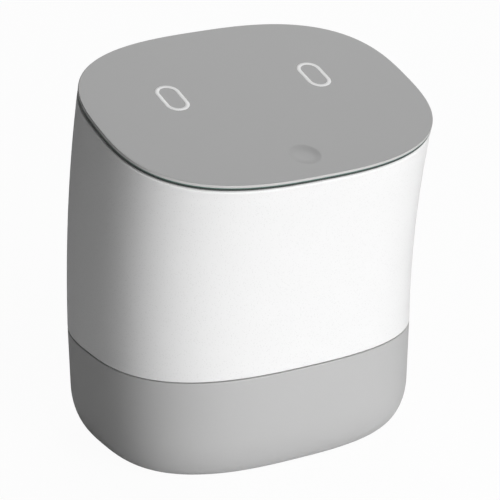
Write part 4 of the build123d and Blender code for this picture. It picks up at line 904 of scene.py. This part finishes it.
def to_object(source: bmesh.types.BMesh, name: str, crisp: float = CRISP_ANGLE) -> bpy.types.Object:
    """Turns a bmesh into an object at the origin.

    Args:
        source: the mesh, which is freed.
        name: the piece's name.
        crisp: edges turned by more than this many degrees stay crisp.

    Returns:
        The new object, linked to the scene.
    """
    data = bpy.data.meshes.new(name)
    source.to_mesh(data)
    source.free()
    data.shade_smooth()
    data.set_sharp_from_angle(angle=math.radians(crisp))
    made = bpy.data.objects.new(name, data)
    bpy.context.scene.collection.objects.link(made)
    return made


def quarter(steps: int) -> list[tuple[float, float]]:
    """Sine and cosine at even steps over a quarter turn, ends included."""
    angles = [0.5 * math.pi * step / steps for step in range(steps + 1)]
    return [(math.sin(angle), math.cos(angle)) for angle in angles]


# --- Sub-assemblies -----------------------------------------------------------------------


class Workshop:
    """Holds the finishes that have been made, and dresses pieces with them."""

    def __init__(self) -> None:
        """Starts with no material made."""
        self.made: dict[str, bpy.types.Material] = {}

    def material(self, slot: str) -> bpy.types.Material:
        """Makes the material of a record slot on its first use.

        Args:
            slot: the record's material slot.

        Returns:
            The slot's one material.
        """
        if slot not in self.made:
            self.made[slot] = FINISHES[slot].make(slot)
        return self.made[slot]

    def dress(self, piece: bpy.types.Object, slot: str, node: str, body: str = "root") -> None:
        """Finishes a new piece that stands for a CAD node.

        Args:
            piece: the new object.
            slot: the record's material slot.
            node: the CAD node that it replaces.
            body: the body that it rides on.
        """
        if not piece.data.materials:
            piece.data.materials.append(self.material(slot))
        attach(piece, body)
        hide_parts(node)
        LOG.info("made %s for %s: %d faces", piece.name, node, len(piece.data.polygons))


@dataclass
class BodyShell:
    """The white leaning shell between the seam and the touch panel."""

    form: Form
    foot_edge: float = 0.4 * MM
    foot_steps: int = 4
    first_share: float = 0.012
    straight_share: float = 0.9
    lean_steps: int = 34
    inner_steps: int = 9
    last_drop: float = 6.5 * MM
    edge: float = 0.9 * MM
    edge_steps: int = 6
    lip: float = 0.15 * MM

    def _foot(self) -> list[Ring]:
        """Rounds the foot's outer edge, from the seam upwards.

        Returns:
            The rings in order.
        """
        outline = self.form.seam
        seam = self.form.lean(0.0)
        rings = [Ring(seam, outline.inset(2.0 * self.foot_edge))]
        for sine, cosine in quarter(self.foot_steps):
            raised = seam.dropped(-self.foot_edge * (1.0 - cosine))
            rings.append(Ring(raised, outline.inset(self.foot_edge * (1.0 - sine))))
        return rings

    def _rim(self) -> list[Ring]:
        """Rounds the rim under the glass, and turns in over the wall.

        Returns:
            The rings in order.
        """
        form = self.form
        panel = form.lean(1.0)
        rim_drop = form.glass + form.rim + form.gap
        rings = [Ring(panel.dropped(self.last_drop), form.top)]
        rings.append(Ring(panel.dropped(rim_drop + 2.0 * self.edge), form.top))
        for sine, cosine in quarter(self.edge_steps):
            drop = rim_drop + self.edge * (1.0 - sine)
            rings.append(Ring(panel.dropped(drop), form.top.inset(self.edge * (1.0 - cosine))))
        rings.append(Ring(panel.dropped(rim_drop), form.top.inset(self.edge + self.lip)))
        rings.append(Ring(panel.dropped(rim_drop), form.top.inset(form.body_wall)))
        rings.append(Ring(panel.dropped(self.last_drop), form.top.inset(form.body_wall)))
        return rings

    def stations(self) -> list[Ring]:
        """Goes up the outside, over the rim and down the inside.

        Returns:
            The rings in order.
        """
        form = self.form
        rings = self._foot()
        for step in range(self.lean_steps + 1):
            share = self.first_share + (self.straight_share - self.first_share) * step / self.lean_steps
            rings.append(Ring(form.lean(share), form.outline(share)))
        rings += self._rim()
        for step in range(self.inner_steps, -1, -1):
            share = self.straight_share * step / self.inner_steps
            rings.append(Ring(form.lean(share), form.outline(share).inset(form.body_wall)))
        return rings

    def build(self, shop: Workshop) -> None:
        """Models and dresses the shell.

        Args:
            shop: where its finish comes from.
        """
        shell = Shell("body_shell_skin").along(self.stations())
        shell.close()
        shop.dress(shell.done(), "body_white", "body_shell")


@dataclass
class BaseShell:
    """The grey base, with its rounded lower edge and the power socket's opening."""

    form: Form
    floor: float = 2.4 * MM
    foot_thick: float = 1.6 * MM
    foot_inset: float = 2.65 * MM
    cover_inset: float = 3.5 * MM
    cover_thick: float = 1.4 * MM
    cover_ledge: float = 3.0 * MM
    play: float = 0.3 * MM
    edge: float = 0.4 * MM
    edge_steps: int = 4
    round_steps: int = 22
    wall_steps: int = 8
    inner_high: float = 0.6
    inner_low: float = 0.45
    socket_sides: int = 48
    socket_cut: float = 12.0 * MM

    def _underside(self) -> list[Ring]:
        """Steps from the floor's opening, past the cover's seat, to the foot's seat.

        Returns:
            The rings in order.
        """
        flat = self.form.base_outline(0.0)
        foot = flat.inset(self.foot_inset - self.play)
        cover = flat.inset(self.foot_inset + self.cover_inset - self.play)
        opening = flat.inset(self.foot_inset + self.cover_inset + self.cover_ledge)
        cover_z = self.foot_thick + self.cover_thick
        steps = (
            (self.foot_thick + self.floor, opening),
            (cover_z, opening),
            (cover_z, cover),
            (self.foot_thick, cover),
            (self.foot_thick, foot),
            (self.form.foot_proud, foot),
        )
        return [Ring(Slice(0.0, z), outline) for z, outline in steps]

    def stations(self) -> list[Ring]:
        """Goes from the floor's opening round the outside, and down the inside.

        Returns:
            The rings in order.
        """
        form = self.form
        underside = form.foot_proud
        top_rise = form.base_height - form.seam_gap
        wall_top = top_rise - 2.0 * self.edge
        rises = [form.round_up * (1.0 - cosine) for _, cosine in quarter(self.round_steps)]
        for step in range(1, self.wall_steps + 1):
            rises.append(form.round_up + (wall_top - form.round_up) * step / self.wall_steps)
        rings = self._underside()
        rings += [Ring(Slice(0.0, underside + rise), form.base_outline(rise)) for rise in rises]
        for sine, cosine in quarter(self.edge_steps):
            rise = top_rise - self.edge * (1.0 - sine)
            outline = form.base_outline(rise).inset(self.edge * (1.0 - cosine))
            rings.append(Ring(Slice(0.0, underside + rise), outline))
        floor_rise = self.foot_thick + self.floor - underside
        inner = (
            top_rise,
            self.inner_high * form.base_height,
            form.round_up,
            self.inner_low * form.round_up,
            floor_rise,
        )
        for rise in inner:
            rings.append(Ring(Slice(0.0, underside + rise), form.base_outline(rise).inset(form.base_wall)))
        return rings

    def build(self, shop: Workshop) -> None:
        """Models and dresses the base, and cuts the opening for the power socket.

        Args:
            shop: where its finish comes from.
        """
        shell = Shell("base_shell_skin").along(self.stations())
        shell.close()
        piece = shell.done()
        self._cut_socket(piece)
        shop.dress(piece, "base_grey", "base_shell")

    def _cutter(self) -> bpy.types.Object:
        """Models an oblong bar, a little larger than the power socket, that points back.

        Returns:
            The bar.
        """
        low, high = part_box("usb_socket")
        radius = 0.5 * (high.z - low.z) + self.play
        half = 0.5 * (high.x - low.x) + self.play - radius
        turn = Matrix.Rotation(0.5 * math.pi, 3, "X")
        source = bmesh.new()
        bmesh.ops.create_circle(source, cap_ends=True, radius=radius, segments=self.socket_sides)
        for vert in source.verts:
            vert.co.x += math.copysign(half, vert.co.x)
        bmesh.ops.rotate(source, verts=source.verts, cent=(0.0, 0.0, 0.0), matrix=turn)
        bmesh.ops.translate(source, verts=source.verts, vec=(0.0, low.y, 0.5 * (low.z + high.z)))
        made = bmesh.ops.extrude_face_region(source, geom=source.faces)["geom"]
        moved = [item for item in made if isinstance(item, bmesh.types.BMVert)]
        bmesh.ops.translate(source, verts=moved, vec=(0.0, self.socket_cut, 0.0))
        bmesh.ops.recalc_face_normals(source, faces=source.faces)
        return to_object(source, "socket_cutter")

    def _cut_socket(self, piece: bpy.types.Object) -> None:
        """Cuts the power socket's opening in the back wall.

        Args:
            piece: the base, which is changed.
        """
        cutter = self._cutter()
        modifier = piece.modifiers.new("socket", "BOOLEAN")
        modifier.operation = "DIFFERENCE"
        modifier.solver = "EXACT"
        modifier.object = cutter
        bpy.context.view_layer.objects.active = piece
        bpy.ops.object.modifier_apply(modifier=modifier.name)
        bpy.data.objects.remove(cutter)
        piece.data.set_sharp_from_angle(angle=math.radians(CRISP_ANGLE))


class Side(Enum):
    """Which of the two touch marks, with the sign of its x."""

    LEFT = -1.0
    RIGHT = 1.0

    @property
    def word(self) -> str:
        """The side's name in the pieces' names."""
        return self.name.lower()


@dataclass
class TouchPanel:
    """The sloping glass with its ground edge, finger dimple and two outlined marks."""

    form: Form
    edge: float = 0.25 * MM
    edge_steps: int = 4
    edge_lip: float = 0.12 * MM
    foot: float = 0.45 * MM
    crisp: float = 40.0
    facing: float = 0.75
    sides: int = 256
    edge_finish: Finish = GroundEdge((0.565, 0.56, 0.555))
    # the edge's lower band: dark teal, partly the glass edge's green tint and partly painted shade under the
    # glass
    foot_tint_and_shade_finish: Finish = GroundEdge((0.10, 0.20, 0.165))
    dimple_v: float = -36.4 * MM
    dimple_radius: float = 6.3 * MM
    dimple_depth: float = 0.62 * MM
    dimple_flatness: float = 3.2
    dimple_blend: float = 1.6
    dimple_rings: int = 26
    dimple_margin: float = 0.4 * MM
    mark_x: float = 30.4 * MM
    mark_v: float = 10.4 * MM
    mark_length: float = 17.0 * MM
    mark_width: float = 9.7 * MM
    mark_line: float = 1.6 * MM
    mark_sink: float = 0.2 * MM
    mark_proud: float = 0.03 * MM
    mark_crisp: float = 50.0
    mark_sides: int = 96

    def _dimple(self, radius: float) -> Place:
        """Sinks a ring round the dimple's centre as deep as the dimple is there.

        Args:
            radius: the ring's radius.

        Returns:
            The ring's point at each angle.
        """
        share = min(1.0, radius / self.dimple_radius)
        depth = self.dimple_depth * (1.0 - share**self.dimple_flatness) ** self.dimple_blend
        panel = self.form.lean(1.0)

        def place(angle: float) -> Vector:
            """The point of that ring at an angle."""
            return panel.at(radius * math.cos(angle), self.dimple_v + radius * math.sin(angle), -depth)

        return place

    def _glass(self, shop: Workshop) -> None:
        """Models the glass from the middle of the dimple outwards, and dresses it.

        Args:
            shop: where its finishes come from.
        """
        panel = self.form.lean(1.0)
        top = self.form.top
        shell = Shell("top_glass_plate", self.sides)
        for step in range(1, self.dimple_rings + 1):
            shell.to(self._dimple(self.dimple_radius * step / self.dimple_rings))
        shell.to(self._dimple(self.dimple_radius + self.dimple_margin))
        shell.to(Ring(panel, top.inset(self.edge + self.edge_lip)).at)
        for sine, cosine in quarter(self.edge_steps):
            drop = self.edge * (1.0 - cosine)
            shell.to(Ring(panel.dropped(drop), top.inset(self.edge * (1.0 - sine))).at)
        shell.to(Ring(panel.dropped(self.form.glass - self.foot), top).at)
        for sine, cosine in quarter(self.edge_steps):
            drop = self.form.glass - self.edge * (1.0 - sine)
            shell.to(Ring(panel.dropped(drop), top.inset(self.edge * (1.0 - cosine))).at)
        shell.cap_last()
        shell.cap_first()
        piece = shell.done(self.crisp)
        self._dress_glass(piece, shop)

    def _dress_glass(self, piece: bpy.types.Object, shop: Workshop) -> None:
        """Gives the face, the ground edge and the edge's foot their own finishes; the foot's dark teal is
        the glass edge's green tint with painted shade.

        Args:
            piece: the glass.
            shop: where the face's finish comes from.
        """
        panel = self.form.lean(1.0)
        middle = panel.at(0.0, 0.0)
        piece.data.materials.append(shop.material("panel_glass"))
        piece.data.materials.append(self.edge_finish.make("glass_edge"))
        piece.data.materials.append(self.foot_tint_and_shade_finish.make("glass_edge_foot_tint_and_shade"))
        for face in piece.data.polygons:
            height = (face.center - middle).dot(panel.up)
            # band 2, the lowest strip of the edge, takes the dark teal of green tint and painted shade
            band = 1 if height > self.foot - self.form.glass else 2
            face.material_index = 0 if abs(face.normal.dot(panel.up)) > self.facing else band
        shop.dress(piece, "panel_glass", "top_glass")

    def _oblong(self, angle: float, inset: float) -> tuple[float, float]:
        """Walks evenly round a mark: straight sides and half-round ends.

        Args:
            angle: how far round, as an angle.
            inset: how far in from the mark's outer line.

        Returns:
            The point's x and v from the mark's middle.
        """
        half = 0.5 * (self.mark_length - self.mark_width)
        radius = 0.5 * self.mark_width
        side, end = 2.0 * half, math.pi * radius
        walked = (angle / math.tau) % 1.0 * 2.0 * (side + end) + half
        turned, rest = divmod(walked, side + end)
        facing = 1.0 if turned != 1.0 else -1.0
        reach = facing * (radius - inset)
        if rest <= side:
            return reach, facing * (rest - half)
        bend = (rest - side) / radius
        return reach * math.cos(bend), facing * half + reach * math.sin(bend)

    def _mark_ring(self, side: Side, inset: float, rise: float) -> Place:
        """Places a mark's outline on the glass.

        Args:
            side: which mark.
            inset: how far in from the mark's outer line.
            rise: the height over the glass.

        Returns:
            The outline's point at each angle.
        """
        panel = self.form.lean(1.0)

        def place(angle: float) -> Vector:
            """The point of that outline at an angle."""
            x, v = self._oblong(angle, inset)
            return panel.at(side.value * self.mark_x + x, self.mark_v + v, rise)

        return place

    def _mark(self, side: Side, shop: Workshop) -> None:
        """Models one outlined mark as a flat oblong ring with softly rounded edges.

        Args:
            side: which mark.
            shop: where its finish comes from.
        """
        soft = 0.5 * self.mark_proud
        section = (
            (0.0, -self.mark_sink),
            (0.0, self.mark_proud - soft),
            (soft, self.mark_proud),
            (self.mark_line - soft, self.mark_proud),
            (self.mark_line, self.mark_proud - soft),
            (self.mark_line, -self.mark_sink),
        )
        shell = Shell("mark_line_" + side.word, self.mark_sides)
        for inset, rise in section:
            shell.to(self._mark_ring(side, inset, rise))
        shell.close()
        shop.dress(shell.done(self.mark_crisp), "mark_ink", "ring_mark_" + side.word)

    def build(self, shop: Workshop) -> None:
        """Models the glass and both marks.

        Args:
            shop: where the finishes come from.
        """
        self._glass(shop)
        for side in Side:
            self._mark(side, shop)


@dataclass
class Insides:
    """Every piece that keeps its CAD mesh."""

    made_here: Sequence[str] = ("body_shell", "base_shell", "top_glass", "ring_mark_left", "ring_mark_right")

    def dress(self, shop: Workshop) -> None:
        """Gives each carried-over node the finish of its record slot.

        Args:
            shop: where the finishes come from.
        """
        for row in frame["record"]["subparts"]:
            node, slot = row["node"], row["material_slot"]
            if node in self.made_here:
                continue
            piece = frame["nodes"][node]
            material = shop.material(slot)
            if not piece.material_slots:
                piece.data.materials.append(material)
            for holder in piece.material_slots:
                holder.material = material
            LOG.info("dressed %s as %s", node, slot)


# --- Studio -------------------------------------------------------------------------------


@dataclass(frozen=True)
class Softbox:
    """A soft light: where it stands round the object, in degrees, and its power in watts."""

    name: str
    azimuth: float
    elevation: float
    power: float

    @property
    def way(self) -> Vector:
        """The way from the object to the light.

        Returns:
            The way, one metre long.
        """
        azimuth, elevation = math.radians(self.azimuth), math.radians(self.elevation)
        level = Vector((math.cos(azimuth), math.sin(azimuth), 0.0))
        return level * math.cos(elevation) + Vector((0.0, 0.0, math.sin(elevation)))


@dataclass
class Studio:
    """Pale floor, soft light and the camera."""

    form: Form
    azimuth: float = math.radians(29.62)
    elevation: float = math.radians(20.80)
    distance: float = 0.973
    aim_right: float = 4.3 * MM
    aim_up: float = 27.3 * MM
    lens: float = 180.1
    sensor: float = 36.0
    nearest: float = 0.05
    floor_size: float = 6.0
    floor_glow: float = 0.96
    paper_tooth: float = 1.5 * MM
    paper_dark: Colour = (0.86, 0.86, 0.86)
    paper_light: Colour = (0.88, 0.88, 0.88)
    light_size: float = 1.0
    light_distance: float = 1.9
    aim_height: float = 0.08
    lights: Sequence[Softbox] = (
        Softbox("key", -82.0, 12.0, 28.0),
        Softbox("upper", -70.0, 45.0, 7.0),
        Softbox("edge", 50.0, 45.0, 11.5),
        Softbox("left", -120.0, 45.0, 1.5),
    )

    def camera(self) -> None:
        """Places the camera by its azimuth, elevation and distance from the seam's middle."""
        right = Vector((math.cos(self.azimuth), -math.sin(self.azimuth), 0.0))
        level = Vector((-math.sin(self.azimuth), -math.cos(self.azimuth), 0.0))
        back = level * math.cos(self.elevation) + Vector((0.0, 0.0, math.sin(self.elevation)))
        up = back.cross(right)
        spot = Vector((0.0, 0.0, self.form.seam_z))
        spot += right * self.aim_right + up * self.aim_up + back * self.distance
        data = bpy.data.cameras.new("camera")
        data.lens = self.lens
        data.sensor_width = self.sensor
        data.clip_start = self.nearest
        camera = bpy.data.objects.new("camera", data)
        rows = [(right[axis], up[axis], back[axis], spot[axis]) for axis in range(3)]
        camera.matrix_world = Matrix((*rows, (0.0, 0.0, 0.0, 1.0)))
        bpy.context.scene.collection.objects.link(camera)
        bpy.context.scene.camera = camera

    def softbox(self, box: Softbox) -> None:
        """Adds one square light that faces the middle of the object.

        Args:
            box: the light's place and power.
        """
        data = bpy.data.lights.new(box.name, "AREA")
        data.energy = box.power
        data.size = self.light_size
        lamp = bpy.data.objects.new(box.name, data)
        lamp.location = box.way * self.light_distance + Vector((0.0, 0.0, self.aim_height))
        lamp.rotation_euler = (-box.way).to_track_quat("-Z", "Y").to_euler()
        bpy.context.scene.collection.objects.link(lamp)

    def floor(self) -> None:
        """Lays a floor that throws light up as pale paper does, and that the camera sees almost white."""
        source = bmesh.new()
        bmesh.ops.create_grid(source, x_segments=1, y_segments=1, size=0.5 * self.floor_size)
        piece = to_object(source, "floor")
        recipe = Recipe("floor_paper")
        tooth = recipe.noise(self.paper_tooth)
        colour = recipe.mix(tooth, self.paper_dark, self.paper_light)
        matt = {"Base Color": colour, "Roughness": 1.0, "Specular IOR Level": 0.0}
        paper = recipe.node("ShaderNodeBsdfPrincipled", {}, matt)
        glow = recipe.node("ShaderNodeEmission", {}, {"Color": WHITE, "Strength": 1.0})
        seen = recipe.node("ShaderNodeLightPath", output="Is Camera Ray")
        mixed = recipe.node("ShaderNodeMixShader", {}, {0: seen * self.floor_glow, 1: paper, 2: glow})
        recipe.node("ShaderNodeOutputMaterial", {}, {"Surface": mixed})
        piece.data.materials.append(recipe.owner)

    def world(self) -> None:
        """Adds a white surround that the camera sees, and that lights nothing."""
        recipe = Recipe("surround", world=True)
        dark = recipe.node("ShaderNodeBackground", {}, {"Strength": 0.0})
        white = recipe.node("ShaderNodeBackground", {}, {"Color": WHITE})
        seen = recipe.node("ShaderNodeLightPath", output="Is Camera Ray")
        mixed = recipe.node("ShaderNodeMixShader", {}, {0: seen, 1: dark, 2: white})
        recipe.node("ShaderNodeOutputWorld", {}, {"Surface": mixed})
        bpy.context.scene.world = recipe.owner

    def build(self) -> None:
        """Sets up the whole studio."""
        bpy.context.scene.view_settings.view_transform = "Standard"
        self.floor()
        self.world()
        for box in self.lights:
            self.softbox(box)
        self.camera()


def main() -> None:
    """Builds every piece and the studio, in order."""
    logging.basicConfig(level=logging.INFO)
    form = Form()
    shop = Workshop()
    BodyShell(form).build(shop)
    BaseShell(form).build(shop)
    TouchPanel(form).build(shop)
    Insides().dress(shop)
    Studio(form).build()


if __name__ == "__main__":
    main()
